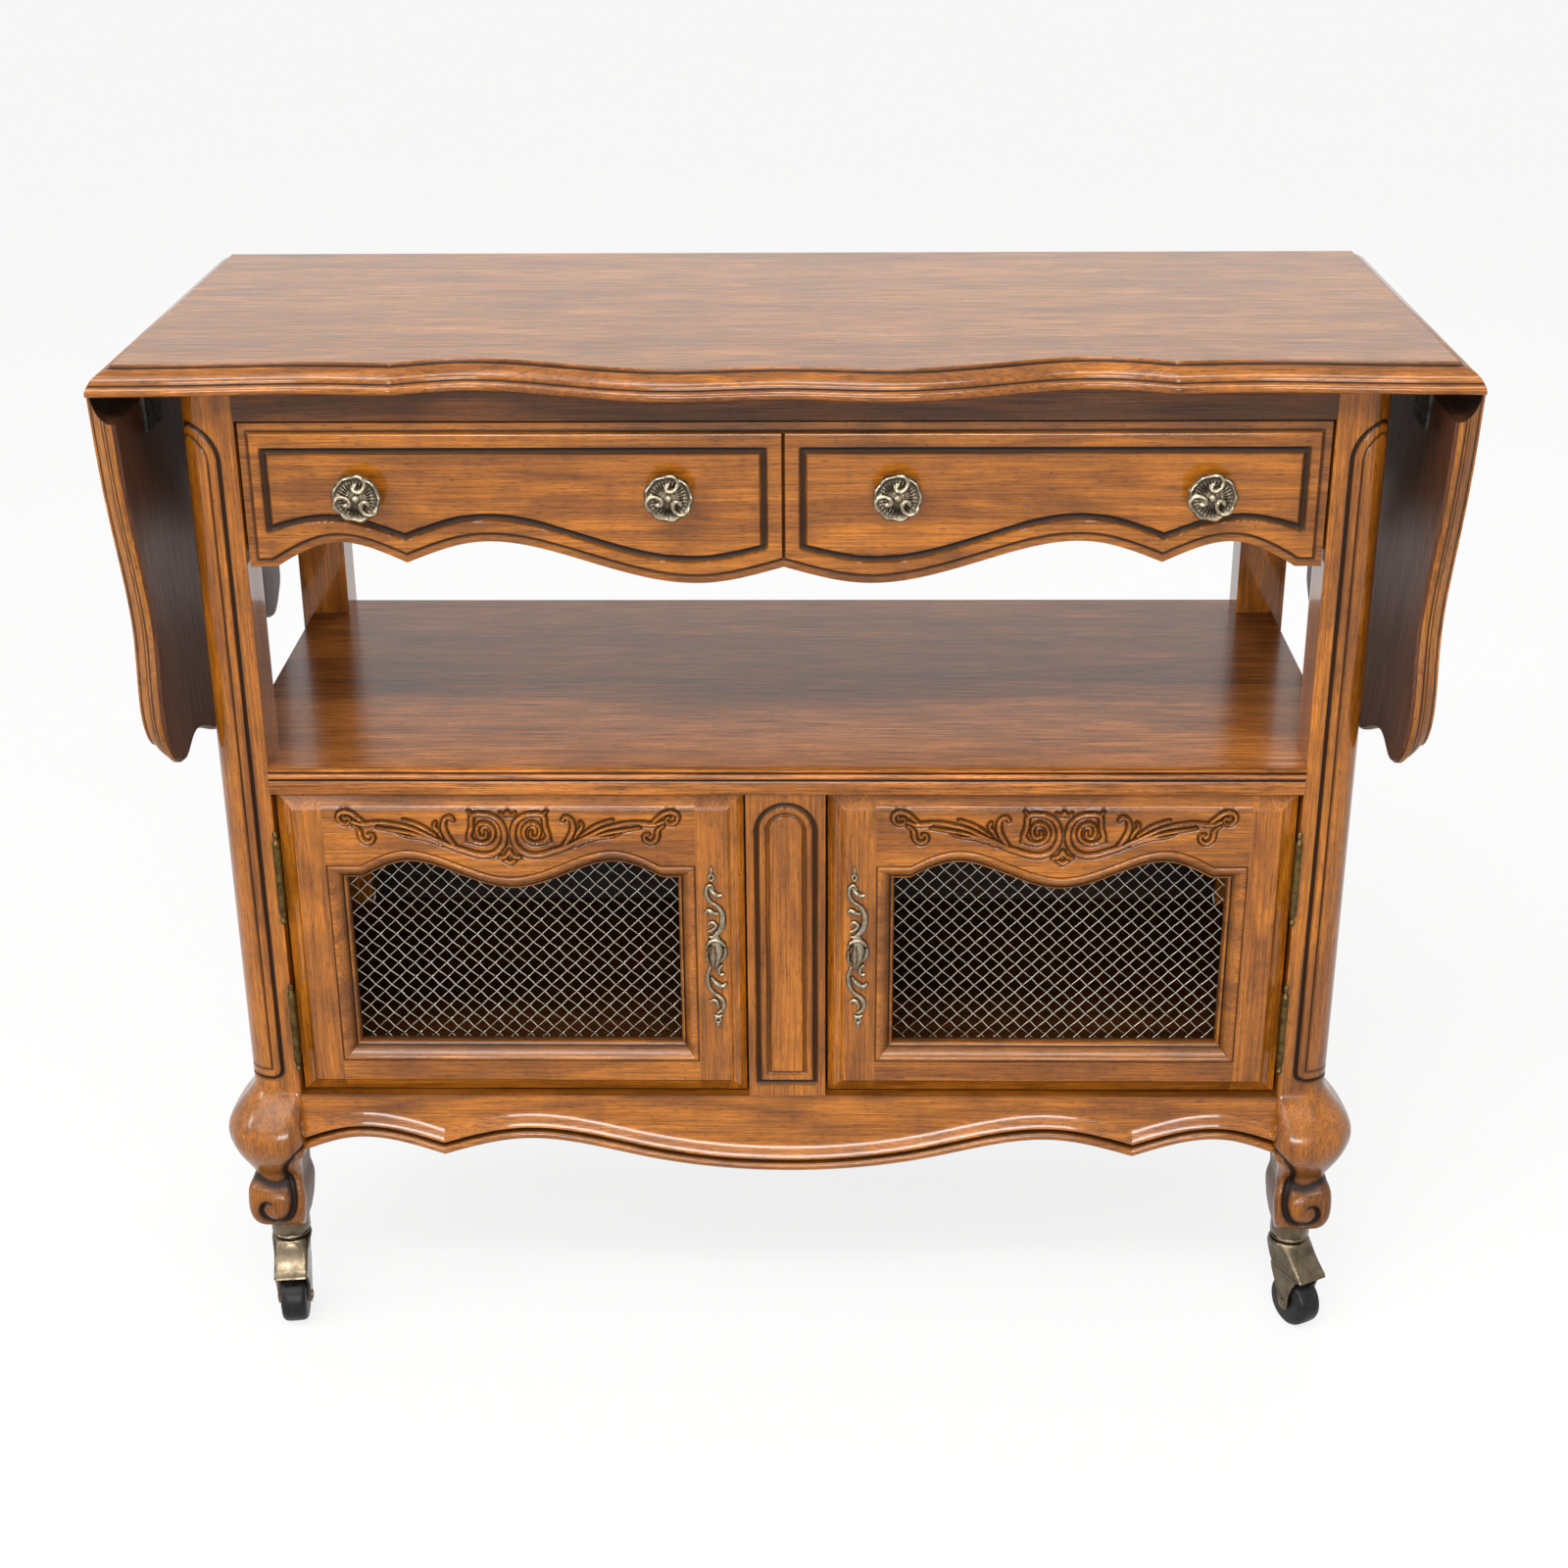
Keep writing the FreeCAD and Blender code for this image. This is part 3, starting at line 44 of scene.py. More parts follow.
def hexColour(text):
    # sRGB hex to linear: the low part is a straight line, the rest a power curve
    values = np.array([int(text[i:i + 2], 16) for i in (1, 3, 5)]) / 255.0
    linear = np.where(values <= 0.04045, values / 12.92, ((values + 0.055) / 1.055) ** 2.4)
    return (*linear.tolist(), 1.0)


def addNode(tree, kind, inputs=None, **settings):
    # New node with its settings; an input is a value, or another node's output to link
    node = tree.nodes.new(kind)
    for key, value in settings.items():
        setattr(node, key, value)
    for key, value in (inputs or {}).items():
        if isinstance(value, bpy.types.NodeSocket):
            tree.links.new(value, node.inputs[key])
        else:
            node.inputs[key].default_value = value
    return node


def newMaterial(name):
    # Fresh material with its node tree and its shader
    material = bpy.data.materials.new(name)
    material.use_nodes = True
    tree = material.node_tree
    return material, tree, tree.nodes["Principled BSDF"]


def perMm(across, along, axis):
    # Scale of a pattern from the real size of its cells: along mm on the grain's axis, across mm otherwise
    scale = [1000.0 / across] * 3
    scale[axis] = 1000.0 / along
    return scale


# Carved and turned fruitwood, stained, then glazed dark in the hollows, where painted shade is mixed into the
# glaze, and lacquered: close straight grain, a soft figure, cloudy stain, fly specks and a satin gloss that
# shows on every roll of the mouldings
fruitwoodFinish = {
    "light": "#B46B1C", "dark": "#8A4E12", "cloud": "#5C3008", "glazeAndShade": "#1A0B04", "speck": "#241208",
    # cells across and along the grain
    "grainMm": (1.3, 60.0), "figureMm": (24.0, 190.0), "poreMm": (0.9, 9.0), "cloudMm": 42.0, "speckMm": 15.0,
    # noise values between which each effect comes in, and how far it goes
    "figureSpan": (0.38, 0.62), "grainSpan": (0.37, 0.64), "grainTone": (1.3, 0.58),
    "cloudSpan": (0.45, 0.75), "cloudShare": (0.0, 0.55), "poreSpan": (0.54, 0.68), "poreTone": (1.0, 0.55),
    "speckSpan": (0.035, 0.06), "speckShare": (0.8, 0.0), "speckPatch": (0.5, 0.56),
    "glossSpan": (0.3, 0.7), "roughness": (0.14, 0.24), "glazeAndShadeRoughness": 0.6, "specular": 0.3, "ior": 1.5,
    "coat": 0.5, "coatRoughness": 0.03, "bumpShare": 0.18, "bumpMm": 0.4}


def makeFruitwood(name, axis, finish):
    # Stain tones by figure, then grain, cloud and pore as multipliers, then specks, then glaze and painted
    # shade by attribute
    material, tree, shader = newMaterial(name)
    place = addNode(tree, "ShaderNodeTexCoord")
    spot = place.outputs["Object"]
    streaks = []
    for size, detail, rough, twist in (("grainMm", 5.0, 0.62, 0.3), ("figureMm", 3.0, 0.55, 1.1),
                                       ("poreMm", 2.0, 0.5, 0.0)):
        cells = addNode(tree, "ShaderNodeMapping", {"Vector": spot, "Scale": perMm(*finish[size], axis)})
        streaks.append(addNode(tree, "ShaderNodeTexNoise", {
            "Vector": cells.outputs[0], "Scale": 1.0, "Detail": detail, "Roughness": rough,
            "Distortion": twist}).outputs[0])
    grain, figure, pore = streaks
    cloud = addNode(tree, "ShaderNodeTexNoise", {"Vector": spot, "Scale": 1000.0 / finish["cloudMm"],
                                                 "Detail": 4.0, "Roughness": 0.6}).outputs[0]
    mark = addNode(tree, "ShaderNodeTexVoronoi", {"Vector": spot, "Scale": 1000.0 / finish["speckMm"]})
    patch = addNode(tree, "ShaderNodeTexNoise", {"Vector": spot,
                                                 "Scale": 400.0 / finish["speckMm"]}).outputs[0]
    # each range node takes a noise, the span of it that counts, and what the ends of the span give
    toneShare, grainTone, cloudShare, poreTone, dot, dotPatch, rough = [
        addNode(tree, "ShaderNodeMapRange", dict(enumerate((value, *finish[span], *ends)))).outputs[0]
        for value, span, ends in (
            (figure, "figureSpan", ()), (grain, "grainSpan", finish["grainTone"]),
            (cloud, "cloudSpan", finish["cloudShare"]), (pore, "poreSpan", finish["poreTone"]),
            (mark.outputs["Distance"], "speckSpan", finish["speckShare"]), (patch, "speckPatch", ()),
            (grain, "glossSpan", finish["roughness"]))]
    tone = addNode(tree, "ShaderNodeMix", {0: toneShare, 6: hexColour(finish["light"]),
                                           7: hexColour(finish["dark"])}, data_type="RGBA").outputs[2]
    tone = addNode(tree, "ShaderNodeMix", {0: 1.0, 6: tone, 7: grainTone}, data_type="RGBA",
                   blend_type="MULTIPLY").outputs[2]
    tone = addNode(tree, "ShaderNodeMix", {0: cloudShare, 6: tone, 7: hexColour(finish["cloud"])},
                   data_type="RGBA").outputs[2]
    tone = addNode(tree, "ShaderNodeMix", {0: 1.0, 6: tone, 7: poreTone}, data_type="RGBA",
                   blend_type="MULTIPLY").outputs[2]
    dot = addNode(tree, "ShaderNodeMath", {0: dot, 1: dotPatch}, operation="MULTIPLY").outputs[0]
    tone = addNode(tree, "ShaderNodeMix", {0: dot, 6: tone, 7: hexColour(finish["speck"])},
                   data_type="RGBA").outputs[2]
    stains = []
    if "inner" in finish:
        # The leaf's hidden face keeps a dark stain: its normal points back at the carcass; the range also
        # takes in the rule joint's cove, where the dark is painted shade
        way = addNode(tree, "ShaderNodeSeparateXYZ", {0: place.outputs["Normal"]}).outputs[0]
        side = addNode(tree, "ShaderNodeSeparateXYZ", {0: spot}).outputs[0]
        facing = addNode(tree, "ShaderNodeMath", {0: way, 1: side}, operation="MULTIPLY").outputs[0]
        stains.append(("inner", facing, -0.1, -0.25))
    if "outer" in finish:
        # The back board's outside is stained brown: its normal points away from the cabinet
        away = addNode(tree, "ShaderNodeSeparateXYZ", {0: place.outputs["Normal"]}).outputs[1]
        stains.append(("outer", away, 0.4, 0.6))
    for stain, facing, none, full in stains:
        share = addNode(tree, "ShaderNodeMapRange", {0: facing, 1: none, 2: full}).outputs[0]
        stained = addNode(tree, "ShaderNodeMix", {0: 1.0, 6: hexColour(finish[stain]), 7: grainTone},
                          data_type="RGBA", blend_type="MULTIPLY").outputs[2]
        tone = addNode(tree, "ShaderNodeMix", {0: share, 6: tone, 7: stained}, data_type="RGBA").outputs[2]
    # The attribute marks dark glaze and painted shade together, in grooves, quirks, rims and round the
    # carving; the dark colour it mixes in stands for both
    glazeAndShade = addNode(tree, "ShaderNodeAttribute", attribute_name="glazeAndShade").outputs["Fac"]
    if "quirks" in finish:
        glazeAndShade = leafGlazeAndShade(tree, spot, glazeAndShade, finish)
    tone = addNode(tree, "ShaderNodeMix", {0: glazeAndShade, 6: tone, 7: hexColour(finish["glazeAndShade"])},
                   data_type="RGBA").outputs[2]
    rough = addNode(tree, "ShaderNodeMix", {0: glazeAndShade, 2: rough, 3: finish["glazeAndShadeRoughness"]}).outputs[0]
    bump = addNode(tree, "ShaderNodeBump", {"Strength": finish["bumpShare"], "Height": grain,
                                            "Distance": finish["bumpMm"] / 1000.0})
    tree.links.new(tone, shader.inputs["Base Color"])
    tree.links.new(rough, shader.inputs["Roughness"])
    tree.links.new(bump.outputs[0], shader.inputs["Normal"])
    shader.inputs["IOR"].default_value = finish["ior"]
    shader.inputs["Specular IOR Level"].default_value = finish["specular"]
    if finish["coat"] > 0.0:
        # The lacquer is thin where the attribute marks glaze and painted shade
        lacquer = addNode(tree, "ShaderNodeMapRange", {0: glazeAndShade, 3: finish["coat"], 4: 0.0}).outputs[0]
        tree.links.new(lacquer, shader.inputs["Coat Weight"])
    shader.inputs["Coat Roughness"].default_value = finish["coatRoughness"]
    return material


def leafGlazeAndShade(tree, spot, glazeAndShade, finish):
    # Glaze and painted shade in the hanging leaf's cove, by the distance from the rule joint's axis, and in
    # its quirks, by the height above its underside, which is turned down by the angle that the leaf hangs at
    turn = math.radians(finish["hang"])
    ways = addNode(tree, "ShaderNodeSeparateXYZ", {0: spot}).outputs
    outward = addNode(tree, "ShaderNodeMath", {0: ways[0]}, operation="ABSOLUTE").outputs[0]
    arm = addNode(tree, "ShaderNodeCombineXYZ", {0: outward, 1: 0.0, 2: ways[2]}).outputs[0]
    arm = addNode(tree, "ShaderNodeVectorMath", {0: arm, 1: [v / 1000.0 for v in finish["joint"]]},
                  operation="SUBTRACT").outputs[0]
    reach = addNode(tree, "ShaderNodeVectorMath", {0: arm}, operation="LENGTH").outputs["Value"]
    height = addNode(tree, "ShaderNodeVectorMath", {0: arm, 1: (math.sin(turn), 0.0, math.cos(turn))},
                     operation="DOT_PRODUCT").outputs["Value"]
    cove, coveEnd, coveDark = finish["cove"]
    darks = [addNode(tree, "ShaderNodeMapRange", {0: reach, 1: cove / 1000.0, 2: coveEnd / 1000.0,
                                                  3: coveDark, 4: 0.0}).outputs[0]]
    for level, half in finish["quirks"]:
        off = addNode(tree, "ShaderNodeMath", {0: height, 1: level / 1000.0}, operation="SUBTRACT").outputs[0]
        off = addNode(tree, "ShaderNodeMath", {0: off}, operation="ABSOLUTE").outputs[0]
        darks.append(addNode(tree, "ShaderNodeMapRange", {0: off, 1: half * 0.0004, 2: half * 0.001, 3: 0.9,
                                                          4: 0.0}).outputs[0])
    for dark in darks:
        glazeAndShade = addNode(tree, "ShaderNodeMath", {0: glazeAndShade, 1: dark}, operation="MAXIMUM").outputs[0]
    return glazeAndShade


# Cast and wiped metals: a mottled patina, dark in the hollows
metalFinishes = {
    "castAntiqueBrass": {"bright": "#B0A38C", "dull": "#7C6F5A", "hollow": "#1A130E", "patchMm": 3.0,
                         "roughness": (0.24, 0.4)},
    "drawnBrassWire": {"bright": "#EAE4D6", "dull": "#C6BFAC", "hollow": "#3A3222", "patchMm": 9.0,
                       "roughness": (0.2, 0.34)},
    "agedBrassHinge": {"bright": "#6E5A32", "dull": "#40321C", "hollow": "#1A130A", "patchMm": 5.0,
                       "roughness": (0.35, 0.5)},
    "castCasterBrass": {"bright": "#786B57", "dull": "#50473A", "hollow": "#1A130A", "patchMm": 16.0,
                        "roughness": (0.2, 0.32)},
    "blackenedSteel": {"bright": "#4A4642", "dull": "#2C2A28", "hollow": "#121110", "patchMm": 6.0,
                       "roughness": (0.4, 0.6)}}


def makeMetal(name, finish):
    # Patina noise picks between two tones and sets the roughness; the attribute darkens the hollows with
    # patina, and the pulls' bars with grime and painted shade
    material, tree, shader = newMaterial(name)
    spot = addNode(tree, "ShaderNodeTexCoord").outputs["Object"]
    patch = addNode(tree, "ShaderNodeTexNoise", {"Vector": spot, "Scale": 1000.0 / finish["patchMm"],
                                                 "Detail": 5.0, "Roughness": 0.65}).outputs[0]
    share = addNode(tree, "ShaderNodeMapRange", {0: patch, 1: 0.38, 2: 0.66, 3: 0.0, 4: 1.0}).outputs[0]
    tone = addNode(tree, "ShaderNodeMix", {0: share, 6: hexColour(finish["bright"]),
                                           7: hexColour(finish["dull"])}, data_type="RGBA").outputs[2]
    glazeAndShade = addNode(tree, "ShaderNodeAttribute", attribute_name="glazeAndShade").outputs["Fac"]
    tone = addNode(tree, "ShaderNodeMix", {0: glazeAndShade, 6: tone, 7: hexColour(finish["hollow"])},
                   data_type="RGBA").outputs[2]
    rough = addNode(tree, "ShaderNodeMapRange", {0: share, 3: finish["roughness"][0],
                                                 4: finish["roughness"][1]}).outputs[0]
    bump = addNode(tree, "ShaderNodeBump", {"Strength": 0.15, "Distance": 0.0003, "Height": patch})
    tree.links.new(tone, shader.inputs["Base Color"])
    tree.links.new(rough, shader.inputs["Roughness"])
    tree.links.new(bump.outputs[0], shader.inputs["Normal"])
    shader.inputs["Metallic"].default_value = 1.0
    return material


# Moulded caster rubber: near black, dusty and scuffed, so the dust shows as a paler cloud
rubberFinish = {"dark": "#0F0F10", "dust": "#2A2826", "dustMm": 6.0, "roughness": (0.36, 0.6),
                "specular": 0.25}


def makeRubber(name, finish):
    # Dust noise picks between the two tones and dulls the surface
    material, tree, shader = newMaterial(name)
    spot = addNode(tree, "ShaderNodeTexCoord").outputs["Object"]
    dust = addNode(tree, "ShaderNodeTexNoise", {"Vector": spot, "Scale": 1000.0 / finish["dustMm"],
                                                "Detail": 6.0, "Roughness": 0.7}).outputs[0]
    share = addNode(tree, "ShaderNodeMapRange", {0: dust, 1: 0.45, 2: 0.75}).outputs[0]
    tone = addNode(tree, "ShaderNodeMix", {0: share, 6: hexColour(finish["dark"]),
                                           7: hexColour(finish["dust"])}, data_type="RGBA").outputs[2]
    rough = addNode(tree, "ShaderNodeMapRange", {0: share, 3: finish["roughness"][0],
                                                 4: finish["roughness"][1]}).outputs[0]
    tree.links.new(tone, shader.inputs["Base Color"])
    tree.links.new(rough, shader.inputs["Roughness"])
    shader.inputs["Specular IOR Level"].default_value = finish["specular"]
    return material


paints = {}
for axisName, axis in (("X", 0), ("Y", 1), ("Z", 2)):
    paints["fruitwood" + axisName] = makeFruitwood("glazedAndShadedFruitwoodGrain" + axisName, axis, fruitwoodFinish)
# Crossbanded veneer of the top and leaves: flatter, redder and dustier than the carved fronts
topFinish = dict(fruitwoodFinish, light="#B47432", dark="#975D24", cloud="#764720", roughness=(0.15, 0.24),
                 grainMm=(2.0, 60.0), figureMm=(36.0, 320.0), cloudMm=90.0, coat=0.1, grainTone=(1.5, 0.42))
leafFinish = dict(topFinish, light="#B47028", dark="#93581C", inner="#54301A", coat=0.0,
                  roughness=(0.36, 0.5), grainTone=(1.3, 0.58), hang=92.5, joint=(495.0, 0.0, 838.0),
                  cove=(19.7, 20.2, 0.85),  # from its radius to where the glaze and painted shade end, and how dark
                  quirks=((8.1, 1.4), (11.2, 0.8), (19.6, 1.3)))  # height above the underside, half width
# Slightly lighter copy of the top's veneer: painted light, standing in for the reflection on the shelf's
# front
shelfFinishPaintedLight = dict(topFinish, light="#BC7434", dark="#985A24", cloud="#75431B")
# Darker, duller copy of the carved fronts' wood: painted shade for the front rail under the top's overhang
# and for the cabinet floor inside the doors
shadedRailFinish = dict(fruitwoodFinish, light="#5C320F", dark="#432408", cloud="#331B08", coat=0.0,
                  roughness=(0.5, 0.62))
# Near black copy for the inside face of the back board, painted shade seen through the grille; its outside
# takes a real brown stain
shadedInsideFinish = dict(fruitwoodFinish, light="#28170B", dark="#190D06", cloud="#140A05", coat=0.0,
                    outer="#6B4020", roughness=(0.5, 0.62))
plainFinish = dict(fruitwoodFinish, light="#B08A5C", dark="#94704A", cloud="#7A5A3A", coat=0.05,
                   grainTone=(1.12, 0.75), roughness=(0.45, 0.6))
for paintName, materialName, axis, finish in (
        ("topVeneer", "veneeredFruitwoodTop", 0, topFinish),
        ("leafVeneer", "veneeredFruitwoodLeaf", 2, leafFinish),
        ("shelfVeneerPaintedLight", "veneeredFruitwoodShelfPaintedLight", 0, shelfFinishPaintedLight),
        ("shadedRail", "shadedFruitwoodUnderTop", 0, shadedRailFinish),
        ("shadedInsideWood", "shadedCabinetLiningStainedOutside", 0, shadedInsideFinish),
        ("plainWoodX", "plainDrawerWoodGrainX", 0, plainFinish),
        ("plainWoodY", "plainDrawerWoodGrainY", 1, plainFinish)):
    paints[paintName] = makeFruitwood(materialName, axis, finish)
for metalName, metalFinish in metalFinishes.items():
    paints[metalName] = makeMetal(metalName, metalFinish)
paints["rubber"] = makeRubber("mouldedCasterRubber", rubberFinish)
print("materials made,", len(paints))

# Finish of each carried-over solid, by the start of its name; the first that fits is taken
nodePaints = (
    ("top_panel", "topVeneer"), ("leaf_hinge", "blackenedSteel"), ("leaf_left_hinge", "blackenedSteel"),
    ("leaf_right_hinge", "blackenedSteel"), ("leaf_", "leafVeneer"), ("front_post", "fruitwoodZ"),
    ("back_post", "fruitwoodZ"), ("front_rail", "shadedRail"), ("side_rail", "fruitwoodY"),
    ("back_rail", "fruitwoodX"), ("drawer_runners", "plainWoodY"), ("shelf", "shelfVeneerPaintedLight"),
    ("cabinet_side", "fruitwoodY"), ("cabinet_back", "shadedInsideWood"), ("cabinet_floor", "shadedRail"),
    ("centre_stile", "fruitwoodZ"), ("front_apron", "fruitwoodX"), ("side_apron", "fruitwoodY"),
    ("back_apron", "fruitwoodX"), ("door_catches", "blackenedSteel"), ("drawer_front", "fruitwoodX"),
    ("drawer_sides", "plainWoodY"), ("drawer_back", "plainWoodX"), ("drawer_bottom", "plainWoodX"),
    ("drawer_knobs", "castAntiqueBrass"), ("door_hinge_post", "agedBrassHinge"),
    ("door_left_hinge_leaves", "agedBrassHinge"), ("door_right_hinge_leaves", "agedBrassHinge"),
    ("support_arm", "plainWoodY"), ("support_brackets", "blackenedSteel"),
    ("caster_ferrules", "castCasterBrass"))
nodeEnds = (("_pull", "castAntiqueBrass"), ("_grille", "drawnBrassWire"), ("_stile", "fruitwoodZ"),
            ("_rail", "fruitwoodX"), ("_moulding", "fruitwoodX"), ("_fork", "castCasterBrass"),
            ("_wheel", "rubber"))
for nodeName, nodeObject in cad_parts.items():
    byStart = [paint for start, paint in nodePaints if nodeName.startswith(start)]
    byEnd = [paint for end, paint in nodeEnds if nodeName.endswith(end)]
    nodeObject.data.materials.clear()
    nodeObject.data.materials.append(paints[(byStart + byEnd)[0]])
print("solids painted")


# Mesh helpers, all in millimetres in the shared frame

def gridFaces(rows, columns, wrapRows=False, wrapColumns=False):
    # Corner numbers of the quads of a grid of rows by columns, closed round where it wraps
    i = np.arange(rows if wrapRows else rows - 1)
    j = np.arange(columns if wrapColumns else columns - 1)
    a, b = np.meshgrid(i, j, indexing="ij")
    up = (a + 1) % rows
    on = (b + 1) % columns
    corners = (a * columns + b, a * columns + on, up * columns + on, up * columns + b)
    return np.stack(corners, axis=-1).reshape(-1, 4)


def signedVolume(points, faces):
    # Sum of the tetrahedra from the origin to each fan triangle
    total = 0.0
    for block in faces:
        for k in range(1, block.shape[1] - 1):
            a, b, c = points[block[:, 0]], points[block[:, k]], points[block[:, k + 1]]
            total += np.einsum("ij,ij->", a, np.cross(b, c))
    return total


def meshPiece(name, points, faces, paint, body, slotName, nodes=(), glazeAndShade=None, sharp=38.0):
    # Closed mesh from points in mm; the faces are turned outwards by the sign of the volume
    points = np.asarray(points, dtype=float).reshape(-1, 3)
    faces = [np.atleast_2d(np.asarray(block, dtype=np.int32)) for block in faces]
    if signedVolume(points - points.mean(axis=0), faces) < 0:
        faces = [block[:, ::-1] for block in faces]
    mesh = bpy.data.meshes.new(name)
    counts = np.concatenate([np.full(len(block), block.shape[1]) for block in faces])
    loops = np.concatenate([block.ravel() for block in faces])
    mesh.vertices.add(len(points))
    mesh.vertices.foreach_set("co", (points * 0.001).ravel())
    mesh.loops.add(len(loops))
    mesh.loops.foreach_set("vertex_index", loops)
    mesh.polygons.add(len(counts))
    mesh.polygons.foreach_set("loop_start", np.concatenate(([0], np.cumsum(counts)[:-1])))
    mesh.update(calc_edges=True)
    mesh.polygons.foreach_set("use_smooth", np.ones(len(counts), dtype=bool))
    mesh.set_sharp_from_angle(angle=math.radians(sharp))
    if glazeAndShade is not None:
        layer = mesh.attributes.new("glazeAndShade", "FLOAT", "POINT")
        layer.data.foreach_set("value", np.clip(np.ravel(glazeAndShade), 0.0, 1.0))
    mesh.materials.append(paints[paint])
    piece = bpy.data.objects.new(name, mesh)
    scene.collection.objects.link(piece)
    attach(piece, body)
    if nodes:
        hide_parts(*nodes)
    return piece


mirrorSide = np.array((-1.0, 1.0, 1.0))


def mirrored(points):
    # The same points on the other side of the trolley's middle
    return np.asarray(points).reshape(-1, 3) * mirrorSide


def curveThrough(points, count):
    # Natural cubic spline by chord length: second slopes from one linear solve, then samples at even steps
    p = np.asarray(points, dtype=float)
    t = np.concatenate(([0.0], np.cumsum(np.linalg.norm(np.diff(p, axis=0), axis=1))))
    h = np.diff(t)
    n = len(p)
    system = np.eye(n)
    i = np.arange(1, n - 1)
    system[i, i - 1] = h[:-1]
    system[i, i] = 2.0 * (h[:-1] + h[1:])
    system[i, i + 1] = h[1:]
    right = np.zeros_like(p)
    slope = np.diff(p, axis=0) / h[:, None]
    right[1:-1] = 6.0 * np.diff(slope, axis=0)
    bend = np.linalg.solve(system, right)
    s = np.linspace(0.0, t[-1], count)
    k = np.clip(np.searchsorted(t, s) - 1, 0, n - 2)
    u = (s - t[k])[:, None]
    v = (t[k + 1] - s)[:, None]
    w = h[k][:, None]
    return ((bend[k] * v ** 3 + bend[k + 1] * u ** 3) / (6.0 * w) + (p[k] / w - bend[k] * w / 6.0) * v
            + (p[k + 1] / w - bend[k + 1] * w / 6.0) * u)


def nearPath(x, z, path, weights=None):
    # Shortest distance from each point to a polyline, and the weight at the nearest place on it
    a = np.asarray(path, dtype=float)[:-1]
    d = np.diff(np.asarray(path, dtype=float), axis=0)
    size = np.maximum((d ** 2).sum(axis=1), 1e-9)
    weights = np.ones(len(path)) if weights is None else np.asarray(weights, dtype=float)
    flat = np.stack((np.ravel(x), np.ravel(z)), axis=1)
    nearest = np.empty(len(flat))
    weight = np.empty(len(flat))
    for start in range(0, len(flat), 4000):
        block = flat[start:start + 4000, None, :] - a
        t = np.clip((block * d).sum(axis=2) / size, 0.0, 1.0)
        gap = np.hypot(block[..., 0] - t * d[:, 0], block[..., 1] - t * d[:, 1])
        k = gap.argmin(axis=1)
        row = np.arange(len(k))
        nearest[start:start + 4000] = gap[row, k]
        weight[start:start + 4000] = weights[k] + t[row, k] * (weights[k + 1] - weights[k])
    return nearest.reshape(np.shape(x)), weight.reshape(np.shape(x))


def smoothStep(value, low, high):
    # Cubic ease from nought at low to one at high
    t = np.clip((value - low) / (high - low), 0.0, 1.0)
    return t * t * (3.0 - 2.0 * t)


def dish(gap, half):
    # Parabola across a line: one on it, nought from the half width on
    return np.clip(1.0 - (gap / half) ** 2, 0.0, 1.0)


def halfRound(gap, half):
    # Half an ellipse across a line: one on it, nought from the half width on
    return np.sqrt(dish(gap, half))


def bell(gap, spread):
    # Bell curve across a line: one on it, about a third at the spread
    return np.exp(-(gap / spread) ** 2)


def shade(gap, dark):
    # Bell curve with a height: the first value on the line, fading over the second in mm
    return dark[0] * bell(gap, dark[1])


def boardPoints(x, low, high, rows, depthOf, front, back, near=(0.0, 0.0), step=0.8):
    # Front grid: column i at x; rows at fixed steps near its low and high edges and stretched only between,
    # all pushed back by the relief; the rim joins the grid to the flat back
    foot = step * np.arange(int(near[0] / step) + 1)[:, None]
    head = step * np.arange(int(near[1] / step), -1, -1)[:, None]
    t = np.linspace(0.0, 1.0, rows + 2)[1:-1, None]
    gz = np.concatenate((low + foot, (low + foot[-1]) * (1.0 - t) + (high - head[0]) * t, high - head))
    rows = len(gz)
    gx = np.broadcast_to(x, gz.shape)
    depth, glazeAndShade = depthOf(gx, gz)
    face = np.stack((gx, front + depth, gz), axis=-1)
    columns = len(x)
    rim = np.concatenate((np.arange(columns), np.arange(1, rows) * columns + columns - 1,
                          (rows - 1) * columns + np.arange(columns - 2, -1, -1),
                          np.arange(rows - 2, 0, -1) * columns))
    flat = face.reshape(-1, 3)
    behind = flat[rim].copy()
    behind[:, 1] = back
    first = len(flat)
    count = len(rim)
    k = np.arange(count)
    on = (k + 1) % count
    skirt = np.stack((rim[k], first + k, first + on, rim[on]), axis=1)
    cap = (first + np.arange(count))[None, ::-1]
    points = np.concatenate((flat, behind))
    values = np.concatenate((glazeAndShade.ravel(), np.zeros(count)))
    return points, [gridFaces(rows, columns), skirt, cap], values


